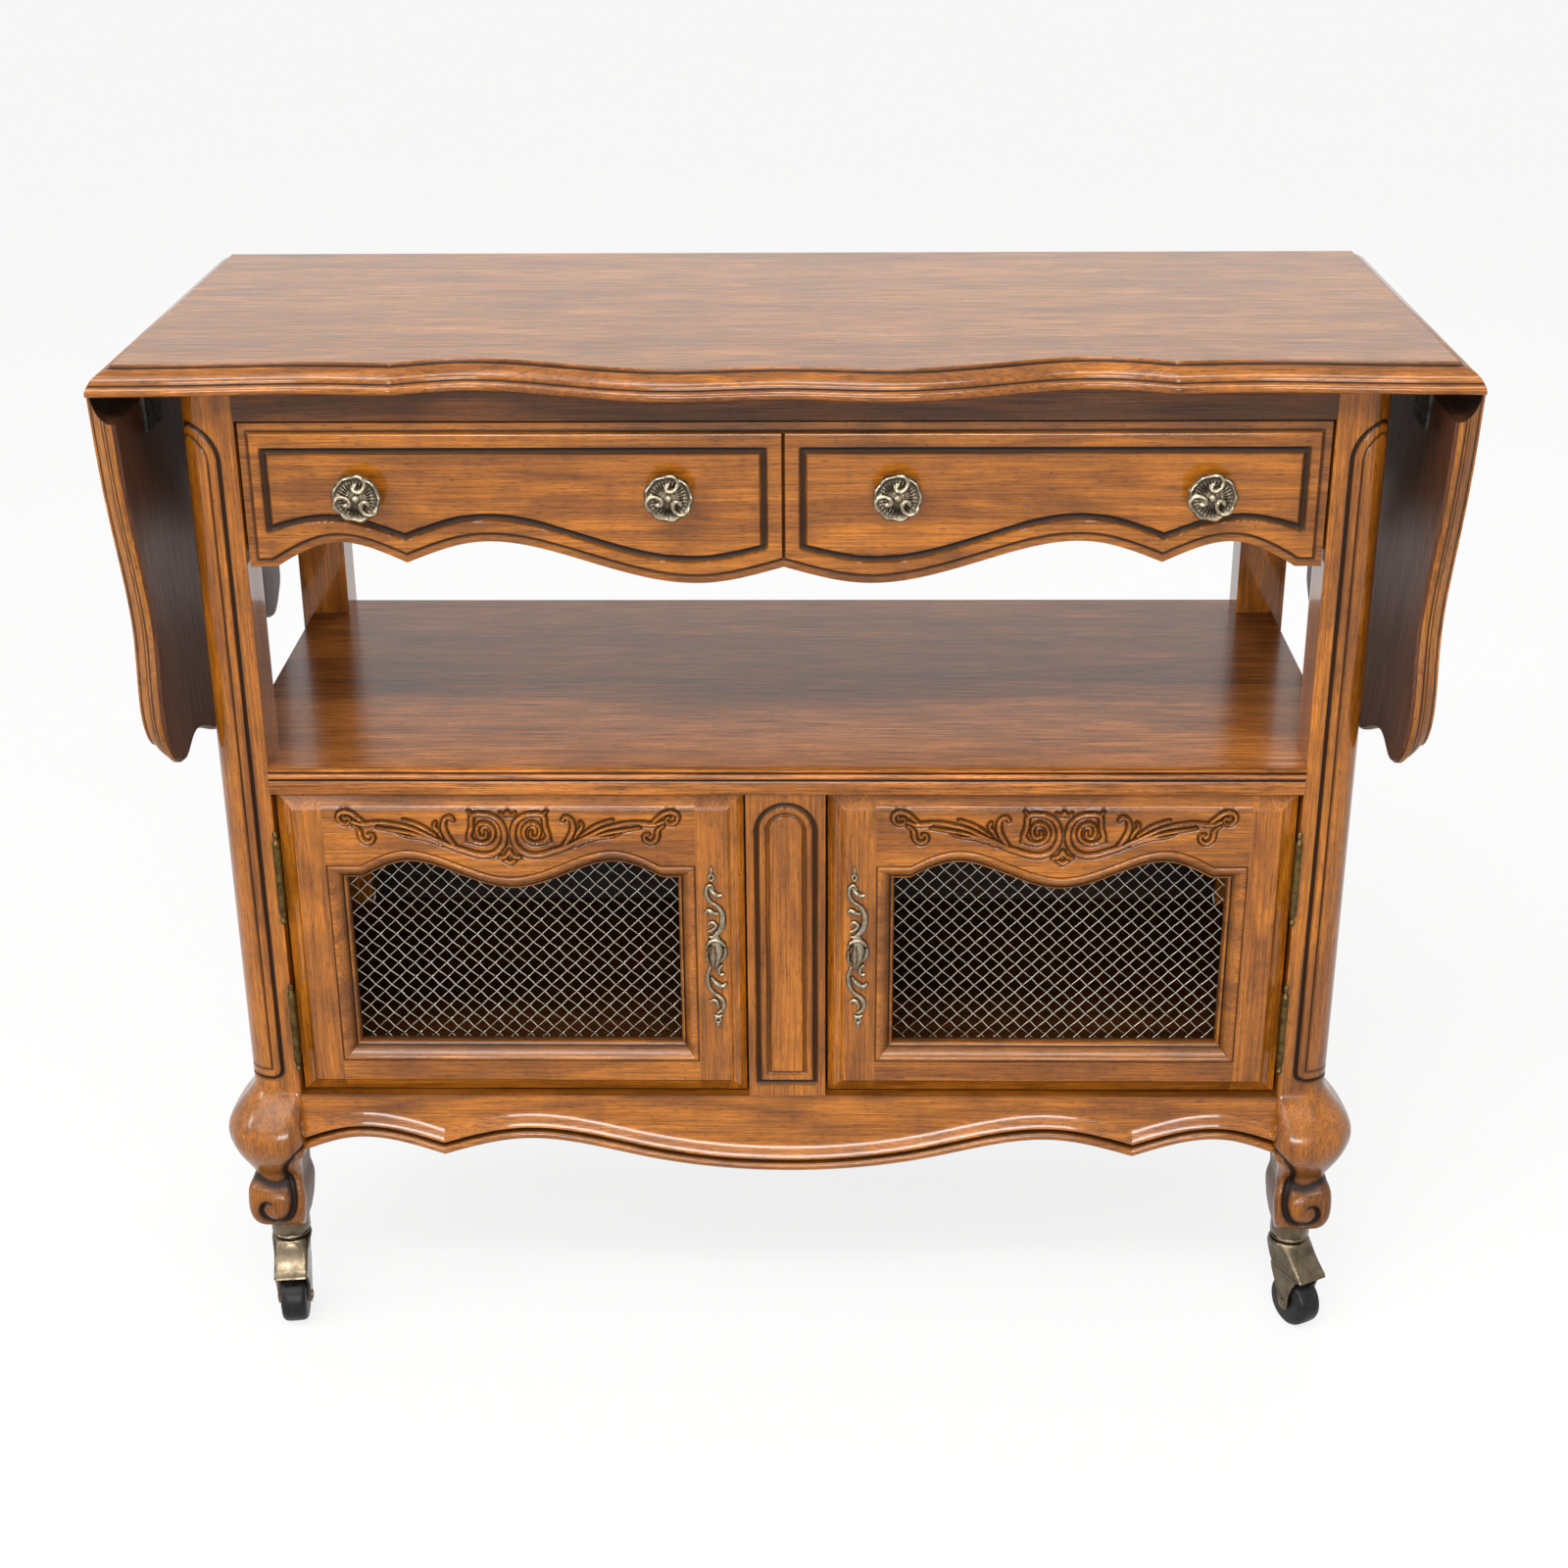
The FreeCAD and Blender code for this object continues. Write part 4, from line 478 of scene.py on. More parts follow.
# Front posts: panelled shaft, ball knee and scroll foot
postShape = {
    "x": (412.0, 455.0), "y": (-180.0, -135.0), "corner": 22.0, "top": 838.0, "shaft": 240.0, "bottom": 98.0,
    # height, inner spread, outer spread, outer rounding
    "levels": ((98.0, -8.0, 1.0, 6.0), (101.0, -7.5, 5.0, 7.0), (108.0, -6.0, 9.0, 8.0),
               (120.0, -4.5, 10.8, 8.0), (132.0, -4.0, 10.4, 8.0), (139.0, -5.0, 9.2, 8.0),
               (145.0, -6.0, 6.4, 10.0), (150.0, -6.0, 5.2, 14.0), (156.0, -5.5, 8.2, 20.0),
               (165.0, -4.5, 14.0, 26.0), (180.0, 0.0, 20.8, 32.0), (193.0, 0.0, 22.0, 33.0),
               (208.0, 0.0, 17.0, 30.0), (222.0, 0.0, 7.0, 24.0), (232.0, 0.0, 1.0, 22.0),
               (240.0, 0.0, 0.0, 22.0)),
    # rounding of the inner front corner by height, and the swell of the knee's face
    "inner": ((98.0, 5.0), (142.0, 5.0), (158.0, 8.0), (185.0, 15.0), (206.0, 13.0), (226.0, 5.0),
              (242.0, 1.0)),
    "knee": (434.0, 192.0), "kneeSpread": (24.0, 20.0), "kneeSwell": 3.0,
    # ball of the scroll, then the groove from inside it, round it and up to the apron: across, up, half width
    "ball": (441.0, 123.0), "ballRadius": 12.0, "ballLift": 2.4,
    "spiral": ((444.5, 126.0, 1.0), (449.0, 126.8, 1.4), (453.6, 121.0, 2.0), (452.4, 111.8, 2.3),
               (443.4, 105.6, 2.4), (433.0, 108.5, 2.7), (426.2, 121.0, 3.0), (425.4, 138.0, 3.2),
               (428.6, 150.0, 2.8), (430.0, 157.0, 2.4), (428.0, 165.5, 2.1), (422.0, 175.5, 1.9),
               (416.0, 182.0, 1.7), (411.0, 184.8, 1.6)),
    "hollow": ((429.0, 146.5), (436.0, 143.0), (446.0, 143.5), (455.0, 147.5), (464.0, 150.5)),
    "spiralDepth": 4.6, "hollowDepth": 2.0, "hollowHalf": 3.0,
    "groove": 425.6, "grooveHalf": 1.6, "grooveDepth": 2.6, "earMiddle": (457.0, 781.0), "earRadius": 31.4,
    "fineLine": 434.2, "fineHalf": 0.8, "fineDepth": 0.9, "fineRadius": 22.8, "toe": (433.6, 253.0),
    "toeRadius": 8.0, "fineToe": 253.6,
    # glaze and painted shade: how dark and how wide; the spiral's first spread is a share of its half width
    "grooveDark": (1.2, 2.0), "fineDark": (1.0, 1.1), "spiralDark": (0.95, 0.95), "spiralShade": (0.25, 5.5),
    "hollowDark": (0.6, 3.2), "hollowShade": (0.3, 9.0),
    # painted shade that comes in going down between two heights, and on the sides turned to the inside of the
    # trolley
    "kneeShade": (0.16, 244.0, 205.0), "ankleShade": (0.12, 175.0, 150.0), "insideShade": (0.7, 168.0, 182.0),
    # rounding of the back corners by height, end of the inner waist, close rows outside the plain run
    "ease": ((98.0, 6.0), (200.0, 6.0), (236.0, 3.0), (246.0, 1.0)), "waistEnd": 174.0,
    "closeStep": 1.25, "plainRun": (262.0, 774.0), "plainRows": 24}


def arcPath(middle, radius, start, end, count):
    # Points on a circle between two angles in degrees
    turn = np.radians(np.linspace(start, end, count))
    return np.stack((middle[0] + radius * np.cos(turn), middle[1] + radius * np.sin(turn)), axis=1)


def postRelief(xf, z, shape):
    # Depth, and glaze with painted shade, by distance to the panel's groove, its fine line, the foot's spiral
    # and the ankle's hollow, with the ball and the knee raised as domes, and painted shade darkening the leg
    # from the knee down
    edge = shape["x"][1] - 2.0
    ear = arcPath(shape["earMiddle"], shape["earRadius"], 180.0, 100.0, 14)
    toe = arcPath(shape["toe"], shape["toeRadius"], 270.0, 180.0, 8)
    panel = np.concatenate(([[edge, toe[0, 1]]], toe, [[shape["groove"], 520.0]], ear))
    near, _ = nearPath(xf, z, panel)
    depth = shape["grooveDepth"] * halfRound(near, shape["grooveHalf"])
    glazeAndShade = shade(near, shape["grooveDark"])
    fineEar = arcPath(shape["earMiddle"], shape["fineRadius"], 180.0, 100.0, 12)
    fine = np.concatenate(([[edge, shape["fineToe"]], [shape["fineLine"], shape["fineToe"]]], fineEar))
    near, _ = nearPath(xf, z, fine)
    depth += shape["fineDepth"] * dish(near, shape["fineHalf"])
    glazeAndShade += shade(near, shape["fineDark"])
    spiral = curveThrough(shape["spiral"], 120)
    near, half = nearPath(xf, z, spiral[:, :2], spiral[:, 2])
    depth += shape["spiralDepth"] * bell(near, half) * np.clip(half / 2.4, 0.0, 1.0)
    glazeAndShade += shade(near / half, shape["spiralDark"]) + shade(near, shape["spiralShade"])
    fromBall = np.hypot(xf - shape["ball"][0], z - shape["ball"][1])
    depth -= shape["ballLift"] * halfRound(fromBall, shape["ballRadius"])
    near, _ = nearPath(xf, z, curveThrough(shape["hollow"], 30))
    depth += shape["hollowDepth"] * bell(near, shape["hollowHalf"])
    glazeAndShade += shade(near, shape["hollowDark"]) + shade(near, shape["hollowShade"])
    # painted shade on the leg from the knee down, and more from the ankle down
    for dark, high, low in (shape["kneeShade"], shape["ankleShade"]):
        glazeAndShade += dark * smoothStep(-z, -high, -low)
    across = (xf - shape["knee"][0]) / shape["kneeSpread"][0]
    up = (z - shape["knee"][1]) / shape["kneeSpread"][1]
    depth -= shape["kneeSwell"] * bell(up, 1.0) * dish(across, 1.0)
    return depth, glazeAndShade


def postSurface(shape):
    # Rounded square section by height: four runs and four arcs, each level with its own spread and rounding
    step = shape["closeStep"]
    foot, head = shape["plainRun"]
    z = np.concatenate((np.arange(shape["bottom"], foot, step),
                        np.linspace(foot + 2.0, head - 2.0, shape["plainRows"]),
                        np.arange(head, shape["top"], step), [shape["top"]]))
    levels = np.array(shape["levels"])
    smooth = curveThrough(levels, 400)
    below = z < shape["shaft"]
    inner, outer, corner = [np.where(below, np.interp(z, smooth[:, 0], smooth[:, k]), rest)[:, None]
                            for k, rest in ((1, 0.0), (2, 0.0), (3, shape["corner"]))]
    inner = np.where(z[:, None] > shape["waistEnd"], 0.0, np.minimum(inner, 0.0))
    ease, inside = [np.interp(z, *np.array(shape[key]).T)[:, None] for key in ("ease", "inner")]
    x0 = shape["x"][0] - inner
    x1 = shape["x"][1] + outer
    y0 = shape["y"][0] - outer
    y1 = shape["y"][1] + inner
    run = np.linspace(0.0, 1.0, 56)[None, 1:-1]
    short = np.linspace(0.0, 1.0, 8)[None, 1:-1]
    one = np.ones_like(run)
    few = np.ones_like(short)
    big = np.radians(np.linspace(-90.0, 0.0, 33))[None, :]
    small = np.radians(np.linspace(0.0, 90.0, 6))[None, :]
    last = np.radians(np.linspace(0.0, 90.0, 16))[None, :]
    xs = (x0 + inside + run * (x1 - corner - x0 - inside), x1 - corner + corner * np.cos(big), x1 * one,
          x1 - ease + ease * np.cos(small), x1 - ease + short * (x0 - x1 + 2.0 * ease),
          x0 + ease - ease * np.sin(small), x0 * few, x0 + inside - inside * np.cos(last))
    ys = (y0 * one, y0 + corner + corner * np.sin(big), y0 + corner + run * (y1 - ease - y0 - corner),
          y1 - ease + ease * np.sin(small), y1 * few, y1 - ease + ease * np.cos(small),
          y1 - ease + short * (y0 + inside - y1 + ease), y0 + inside - inside * np.sin(last))
    x = np.concatenate(xs, axis=1)
    y = np.concatenate(ys, axis=1)
    gz = np.broadcast_to(z[:, None], x.shape)
    column = np.arange(x.shape[1])
    frontRun, arc, back = run.shape[1], big.shape[1], x.shape[1] - last.shape[1]
    turned = (column > frontRun + arc // 2) & (column < back)
    faced = (column < 2 * frontRun + arc) | (column >= back)
    xf = np.where(turned, x1 - (y - y0), x)
    depth, glazeAndShade = postRelief(xf, gz, shape)
    depth = depth * faced
    # the sides turned to the inside of the trolley are painted dark below the apron, as painted shade
    dark, low, high = shape["insideShade"]
    glazeAndShade = np.where(faced, glazeAndShade, dark * (1.0 - smoothStep(gz, low, high)))
    normal = np.concatenate((np.full(frontRun, -90.0), np.degrees(big[0]), np.zeros(back - frontRun - arc),
                             180.0 + np.degrees(last[0])))
    x = x - depth * np.cos(np.radians(normal))
    y = y - depth * np.sin(np.radians(normal))
    points = np.stack((x, y, gz), axis=-1)
    rows, columns = x.shape
    caps = [np.arange(columns)[None, ::-1], ((rows - 1) * columns + np.arange(columns))[None, :]]
    return points.reshape(-1, 3), [gridFaces(rows, columns, wrapColumns=True)] + caps, glazeAndShade.ravel()


postPoints, postFaces, postGlazeAndShade = postSurface(postShape)
for side, place in (("right", np.asarray), ("left", mirrored)):
    meshPiece("frontPost" + side.capitalize(), place(postPoints), postFaces, "fruitwoodZ", "carcass",
              "glazed_fruitwood", ["front_post_" + side], postGlazeAndShade)
print("front posts made")


# Drawer front: double scalloped board, sunk rim, two grooved panels and a false parting
drawerShape = {
    "half": 410.0, "top": 812.0, "base": 698.6, "front": -180.0, "back": -160.0, "rim": 7.0, "rimDepth": 3.0,
    "outer": ((390.0, 0.0), (345.0, 19.7), (289.0, 3.3)),
    "inner": ((289.0, 3.3), (236.0, 19.7), (150.0, 4.0), (61.0, -13.3), (0.0, -0.3)),
    "panelOuter": ((395.0, 27.5), (347.0, 37.5), (289.0, 22.0)),
    "panelInner": ((289.0, 22.0), (234.0, 37.5), (150.0, 20.5), (64.0, 4.0), (12.0, 14.0)),
    "panelTop": 18.5, "groove": 5.5, "grooveDepth": 3.2, "parting": 1.5, "partingDepth": 2.6,
    # slope of the rim inside and outside its line, then glaze and painted shade: how dark and how wide, then
    # how dark all over the sunk rim; the groove's first spread is a share of its half width
    "rimSlope": (0.6, 1.4), "rimDark": (0.85, 1.3), "rimGlazeAndShade": 0.25, "grooveDark": (1.3, 0.8),
    "grooveShade": (0.16, 8.0)}


def scallopRight(shape, outer, inner, count):
    # Lower edge from the outer end to the centre: two splines that meet in a cusp
    return np.concatenate((curveThrough(shape[outer], count), curveThrough(shape[inner], 2 * count)[1:]))


def drawerRelief(x, z, shape):
    # Rim sunk within its width of the outline, round-bottomed panel grooves, thin parting groove, all
    # darkened with glaze and painted shade
    right = scallopRight(shape, "outer", "inner", 40)
    low = np.concatenate(([[shape["half"], 0.0]], right)) + (0.0, shape["base"])
    side = np.concatenate(([[shape["half"], shape["top"]]], low))
    outline = np.concatenate(([[0.0, shape["top"]]], side))
    edge, _ = nearPath(np.abs(x), z, outline)
    before, after = shape["rimSlope"]
    depth = shape["rimDepth"] * (1.0 - smoothStep(edge, shape["rim"] - before, shape["rim"] + after))
    glazeAndShade = shade(edge - shape["rim"] + before, shape["rimDark"]) + shape["rimGlazeAndShade"] * (edge < shape["rim"])
    centre = shape["groove"] / 2.0
    panel = scallopRight(shape, "panelOuter", "panelInner", 40) + (0.0, shape["base"] + centre)
    panel[0, 0] -= centre
    panel[-1, 0] += centre
    high = shape["top"] - shape["panelTop"] - centre
    panel = np.concatenate((panel, [[panel[-1, 0], high], [panel[0, 0], high], panel[0]]))
    near, _ = nearPath(np.abs(x), z, panel)
    depth += shape["grooveDepth"] * halfRound(near, centre)
    glazeAndShade += shade(near / centre, shape["grooveDark"]) + shade(near, shape["grooveShade"])
    inField = smoothStep(edge, shape["rim"], shape["rim"] + 1.5)
    parting = dish(x, shape["parting"]) * inField
    return depth + shape["partingDepth"] * parting, glazeAndShade + parting


def drawerColumns(shape, step):
    # Columns at even steps from side to side, with extra ones at the cusps, the ends and the parting
    marks = np.array((shape["outer"][-1][0], shape["outer"][0][0], shape["half"]))
    even = np.arange(step, shape["half"], step)
    near = np.array((0.5, 1.0, 1.5, 2.0))
    right = np.unique(np.round(np.concatenate((even, marks, near)), 3))
    return np.concatenate((-right[::-1], [0.0], right))


drawerX = drawerColumns(drawerShape, 1.3)
drawerEdge = scallopRight(drawerShape, "outer", "inner", 60)[::-1]
drawerLow = drawerShape["base"] + np.interp(np.abs(drawerX), drawerEdge[:, 0], drawerEdge[:, 1])
drawerHigh = np.full_like(drawerLow, drawerShape["top"])
drawerPoints, drawerFaces, drawerGlazeAndShade = boardPoints(
    drawerX, drawerLow, drawerHigh, 36, lambda x, z: drawerRelief(x, z, drawerShape), drawerShape["front"],
    drawerShape["back"], near=(30.0, 27.0))
meshPiece("drawerFront", drawerPoints, drawerFaces, "fruitwoodX", "drawer", "glazed_fruitwood",
          ["drawer_front"], drawerGlazeAndShade)
print("drawer front made")


# Front apron: bead along the scalloped edge, dark quirk above it, then a roll that dies into the flat
apronShape = {
    "half": 412.0, "base": 175.0, "top": 229.5, "front": -180.0, "back": -158.0, "step": 1.3,
    "bead": 8.0, "beadProud": 4.0, "quirk": 3.0, "quirkDepth": 2.6, "roll": 6.0, "rollWidth": 17.0,
    "shoulder": 2.5, "quirkDark": (1.4, 1.9), "topDark": (0.5, 2.0),
    "outer": ((412.0, 0.0), (371.0, 12.5), (293.0, -4.0)),
    "inner": ((293.0, -4.0), (225.0, 12.0), (120.0, -6.0), (0.0, -19.0))}


def apronEdge(shape):
    # The middle run is one spline from cusp to cusp, so it is level at the centre
    inner = list(shape["inner"])
    middle = curveThrough(inner + [(-x, z) for x, z in reversed(inner[:-1])], 161)[:81]
    return np.concatenate((curveThrough(shape["outer"], 60), middle[1:]))


def apronRelief(x, z, shape):
    # Depth by distance from the scalloped edge: half-round bead, quirk, half a cosine wave down to the flat;
    # the quirk is darkened with glaze and painted shade
    low = apronEdge(shape) + (0.0, shape["base"])
    edge, _ = nearPath(np.abs(x), z, low)
    half = shape["bead"] / 2.0
    bead = halfRound(edge - half, half) * (edge < shape["bead"])
    middle = shape["bead"] + shape["quirk"] / 2.0
    quirk = dish(edge - middle, shape["quirk"] / 2.0)
    start = shape["bead"] + shape["quirk"]
    share = np.clip((edge - start) / shape["rollWidth"], 0.0, 1.0)
    shoulder = np.sqrt(np.clip((edge - start) / shape["shoulder"], 0.0, 1.0))
    roll = (0.5 + 0.5 * np.cos(np.pi * share)) * shoulder
    depth = shape["quirkDepth"] * quirk - shape["beadProud"] * bead - shape["roll"] * roll
    glazeAndShade = shade(edge - middle, shape["quirkDark"]) + shade(shape["top"] - z, shape["topDark"])
    return depth, glazeAndShade


apronCurve = apronEdge(apronShape)[::-1]
apronStep, apronHalf = apronShape["step"], apronShape["half"]
apronMarks = (apronShape["inner"][0][0], apronHalf)  # the cusp and the end get a column of their own
apronX = np.unique(np.round(np.concatenate((np.arange(apronStep, apronHalf, apronStep), apronMarks)), 3))
apronX = np.concatenate((-apronX[::-1], [0.0], apronX))
apronLow = apronShape["base"] + np.interp(np.abs(apronX), apronCurve[:, 0], apronCurve[:, 1])
apronPoints, apronFaces, apronGlazeAndShade = boardPoints(
    apronX, apronLow, np.full_like(apronLow, apronShape["top"]), 16,
    lambda x, z: apronRelief(x, z, apronShape), apronShape["front"], apronShape["back"], near=(30.0, 4.0))
meshPiece("frontApron", apronPoints, apronFaces, "fruitwoodX", "carcass", "glazed_fruitwood", ["front_apron"],
          apronGlazeAndShade)
print("front apron made")


# Doors: carved top rail, window moulding, woven wire and scrolled pull, made for the left door's mirror
windowShape = {"centre": 223.0, "half": 150.0, "low": 262.5, "flatZ": 445.0, "flat": 28.0,
               "arch": ((108.0, 7.5), (86.0, 14.0), (48.0, 4.5)), "dip": 10.0, "top": 507.0}


def windowArch(shape):
    # Arch from the right turn to the left turn, relative to the window's centre and flats
    turn = shape["half"] - shape["flat"]
    half = [(turn, 0.0)] + list(shape["arch"]) + [(0.0, -shape["dip"])]
    return curveThrough(half + [(-x, z) for x, z in reversed(half[:-1])], 181)


carvingShape = {
    "front": -180.0, "back": -160.0, "height": 2.6, "bevel": 13.0, "bevelDepth": 8.0, "step": 2.5,
    # ground cut round the strokes: how far off, how wide, how deep and how dark with glaze and painted shade;
    # then the painted shade line at the bevel's foot
    "ground": (0.3, 1.1, 1.2, 0.95), "bevelDark": (0.5, 1.2), "strokeEdge": 0.7,
    # strokes right of the centre, in mm from the window's centre and corner flats: points, then half widths
    "strokes": (
        (((117.2, 37.5), (101.4, 38.4), (87.5, 36.0), (75.6, 32.3), (65.7, 27.1), (55.8, 21.9), (45.9, 16.7),
          (35.0, 12.6), (24.2, 9.5), (14.3, 10.2), (7.3, 15.2), (3.6, 23.4), (4.0, 32.7), (7.5, 40.1),
          (13.9, 44.4), (21.4, 45.7), (28.1, 44.4), (29.7, 34.9), (31.3, 23.6), (25.7, 20.8), (19.2, 20.4),
          (13.5, 24.5),
          (12.3, 31.0), (15.4, 36.2), (20.6, 37.7), (24.6, 34.7), (25.1, 29.3), (22.0, 25.1), (18.0, 26.7),
          (18.2, 30.1)), (0.9, 1.3, 1.6, 2.1, 2.3, 2.2, 2.0, 1.8, 1.7, 1.6, 1.2)),
        (((44.0, 18.0), (48.7, 24.5), (51.7, 31.0), (52.1, 37.5), (49.9, 41.8), (46.3, 43.1), (44.2, 40.5)),
         (1.2, 2.0, 2.2, 1.6, 1.4)),
        (((53.5, 24.9), (57.2, 31.4), (59.6, 35.8), (58.2, 38.4)), (1.0, 1.6, 1.0)),
        (((84.0, 40.5), (76.6, 37.9), (66.7, 32.7), (58.6, 27.1)), (0.9, 1.5, 1.0)),
        (((106.3, 34.0), (90.5, 31.4), (76.6, 28.4), (64.7, 24.1), (53.9, 18.4)), (0.8, 1.3, 1.5, 1.0)),
        (((89.9, 29.7), (83.6, 26.7), (73.7, 25.4), (61.8, 21.5)), (0.7, 1.2, 0.8)),
        (((117.2, 39.2), (122.8, 44.0), (128.7, 47.5), (134.2, 47.0), (136.6, 42.7), (133.8, 37.9),
          (128.7, 37.9), (127.1, 41.4), (129.9, 43.1)), (1.2, 1.8, 1.7, 1.3, 1.0)),
        (((124.7, 35.8), (120.4, 31.4), (119.2, 24.5), (114.4, 20.6), (110.1, 22.8), (109.7, 27.1),
          (112.9, 28.0)), (1.3, 1.9, 1.6, 1.0)),
        (((125.1, 39.2), (117.2, 36.6), (106.3, 37.5)), (1.4, 1.6, 1.0)),
        (((7.9, 7.6), (4.0, 8.0), (0.0, 12.8)), (1.4, 1.8)),
        (((4.0, 5.0), (0.0, 2.4)), (1.4, 1.8)),
        (((5.9, 46.6), (2.8, 44.9), (0.0, 47.5)), (1.0, 1.4)),
        (((28.1, 44.4), (31.3, 48.3)), (1.6, 0.8)),
        (((30.1, 24.5), (33.7, 21.9)), (1.6, 0.8)))}


def taper(widths, count):
    # Half widths at even steps along a stroke
    return np.interp(np.linspace(0.0, 1.0, count), np.linspace(0.0, 1.0, len(widths)), widths)


def railRelief(x, z, shape):
    # Rounded ridges along the strokes, dark round their feet with glaze and painted shade, and the sunk bevel
    # along the top edge
    u = np.abs(x - windowShape["centre"])
    v = z - windowShape["flatZ"]
    ridge = np.zeros_like(u)
    halo = np.zeros_like(u)
    cover = np.zeros_like(u)
    off, wide, deep, dark = shape["ground"]
    for points, widths in shape["strokes"]:
        path = curveThrough(points, 12 * len(points)) if len(points) > 2 else np.array(points)
        near, half = nearPath(u, v, path, taper(widths, len(path)))
        ridge = np.maximum(ridge, halfRound(near, half))
        halo = np.maximum(halo, bell(near - half - off, wide))
        cover = np.maximum(cover, smoothStep(half - near, 0.0, shape["strokeEdge"]))
    up = windowShape["top"] - z
    bare = 1.0 - cover
    sunk = np.interp(up, (0.0, shape["bevel"] - shape["step"], shape["bevel"]),
                     (shape["bevelDepth"], shape["step"], 0.0))
    depth = sunk * bare - shape["height"] * ridge + deep * halo * bare
    glazeAndShade = dark * halo * bare + shade(up - shape["bevel"], shape["bevelDark"]) * bare
    return depth, glazeAndShade


railArch = windowArch(windowShape)[::-1]
railHalf = windowShape["half"]
railTurn = railHalf - windowShape["flat"]
railX = windowShape["centre"] + np.concatenate((
    np.linspace(-railHalf, -railTurn, 38)[:-1], np.linspace(-railTurn, railTurn, 330),
    np.linspace(railTurn, railHalf, 38)[1:]))
railLow = windowShape["flatZ"] + np.interp(railX - windowShape["centre"], railArch[:, 0], railArch[:, 1],
                                           0.0, 0.0)
railPoints, railFaces, railGlazeAndShade = boardPoints(
    railX, railLow, np.full_like(railLow, windowShape["top"]), 80,
    lambda x, z: railRelief(x, z, carvingShape), carvingShape["front"], carvingShape["back"])
print("carved rail made")

mouldingShape = {
    "front": -181.5,
    # distance in from the window's edge, depth behind the front
    "profile": ((0.0, 1.5), (0.3, 2.4), (0.9, 2.4), (1.2, 1.0), (2.0, 0.2), (3.2, 0.1), (5.0, 0.9),
                (7.0, 2.5), (9.0, 4.6), (10.8, 6.9), (11.4, 8.3), (12.0, 8.6), (12.4, 8.0), (13.4, 8.2),
                (14.4, 9.6), (15.2, 12.5), (15.5, 16.5), (0.0, 16.5)),
    # glaze and painted shade at each profile point: dark at the outer edge, darker going down the slope,
    # black in the quirk and at the back
    "dark": (0.5, 0.8, 0.6, 0.15, 0.0, 0.0, 0.08, 0.18, 0.3, 0.55, 1.0, 1.0, 0.4, 0.1, 0.3, 0.7, 1.0, 1.0)}


def windowPath(shape):
    # Closed outline of the window with, at each point, the way it moves for one mm of inset: straight in on
    # the sides, and both ways at once in the corners
    arch = windowArch(shape)
    half, low, high = shape["half"], shape["low"], shape["flatZ"]
    across = np.linspace(-half, half, 60)
    up = np.linspace(low, high, 40)[1:-1]
    right = np.linspace(half, arch[0, 0], 8)
    bottom = np.stack((across, np.full_like(across, low)), axis=1)
    rise = np.stack((np.full_like(up, half), up), axis=1)
    flat = np.stack((right, np.full_like(right, high)), axis=1)
    top = np.concatenate((flat[:-1], arch + (0.0, high), (flat * (-1.0, 1.0))[::-1][1:]))
    sides = (bottom, rise, top, rise[::-1] * (-1.0, 1.0))
    path = np.concatenate(sides)
    move = np.repeat(((0.0, 1.0), (-1.0, 0.0), (0.0, -1.0), (1.0, 0.0)), [len(run) for run in sides], axis=0)
    first = len(bottom) + len(rise)
    move[0] = (1.0, 1.0)
    move[len(bottom) - 1] = (-1.0, 1.0)
    move[first] = (-1.0, -1.0)
    move[first + len(top) - 1] = (1.0, -1.0)
    return path, move


def mouldingSurface(shape):
    # Profile carried round the window: each profile point is an inset outline at its own depth
    path, move = windowPath(windowShape)
    profile = np.array(shape["profile"])
    flat = path[:, None, :] + move[:, None, :] * profile[None, :, :1]
    x = windowShape["centre"] + flat[..., 0]
    y = np.broadcast_to(shape["front"] + profile[None, :, 1], x.shape)
    points = np.stack((x, y, flat[..., 1]), axis=-1)
    glazeAndShade = np.broadcast_to(np.array(shape["dark"]), x.shape)
    return points.reshape(-1, 3), [gridFaces(len(path), len(profile), True, True)], glazeAndShade.ravel()


mouldingPoints, mouldingFaces, mouldingGlazeAndShade = mouldingSurface(mouldingShape)

grilleShape = {"pitch": 9.475, "radius": 0.36, "middle": -163.9, "crimp": (0.35, 0.75), "inset": 11.0,
               "sides": 5, "steps": 64, "lines": 30, "shortest": 3.0}


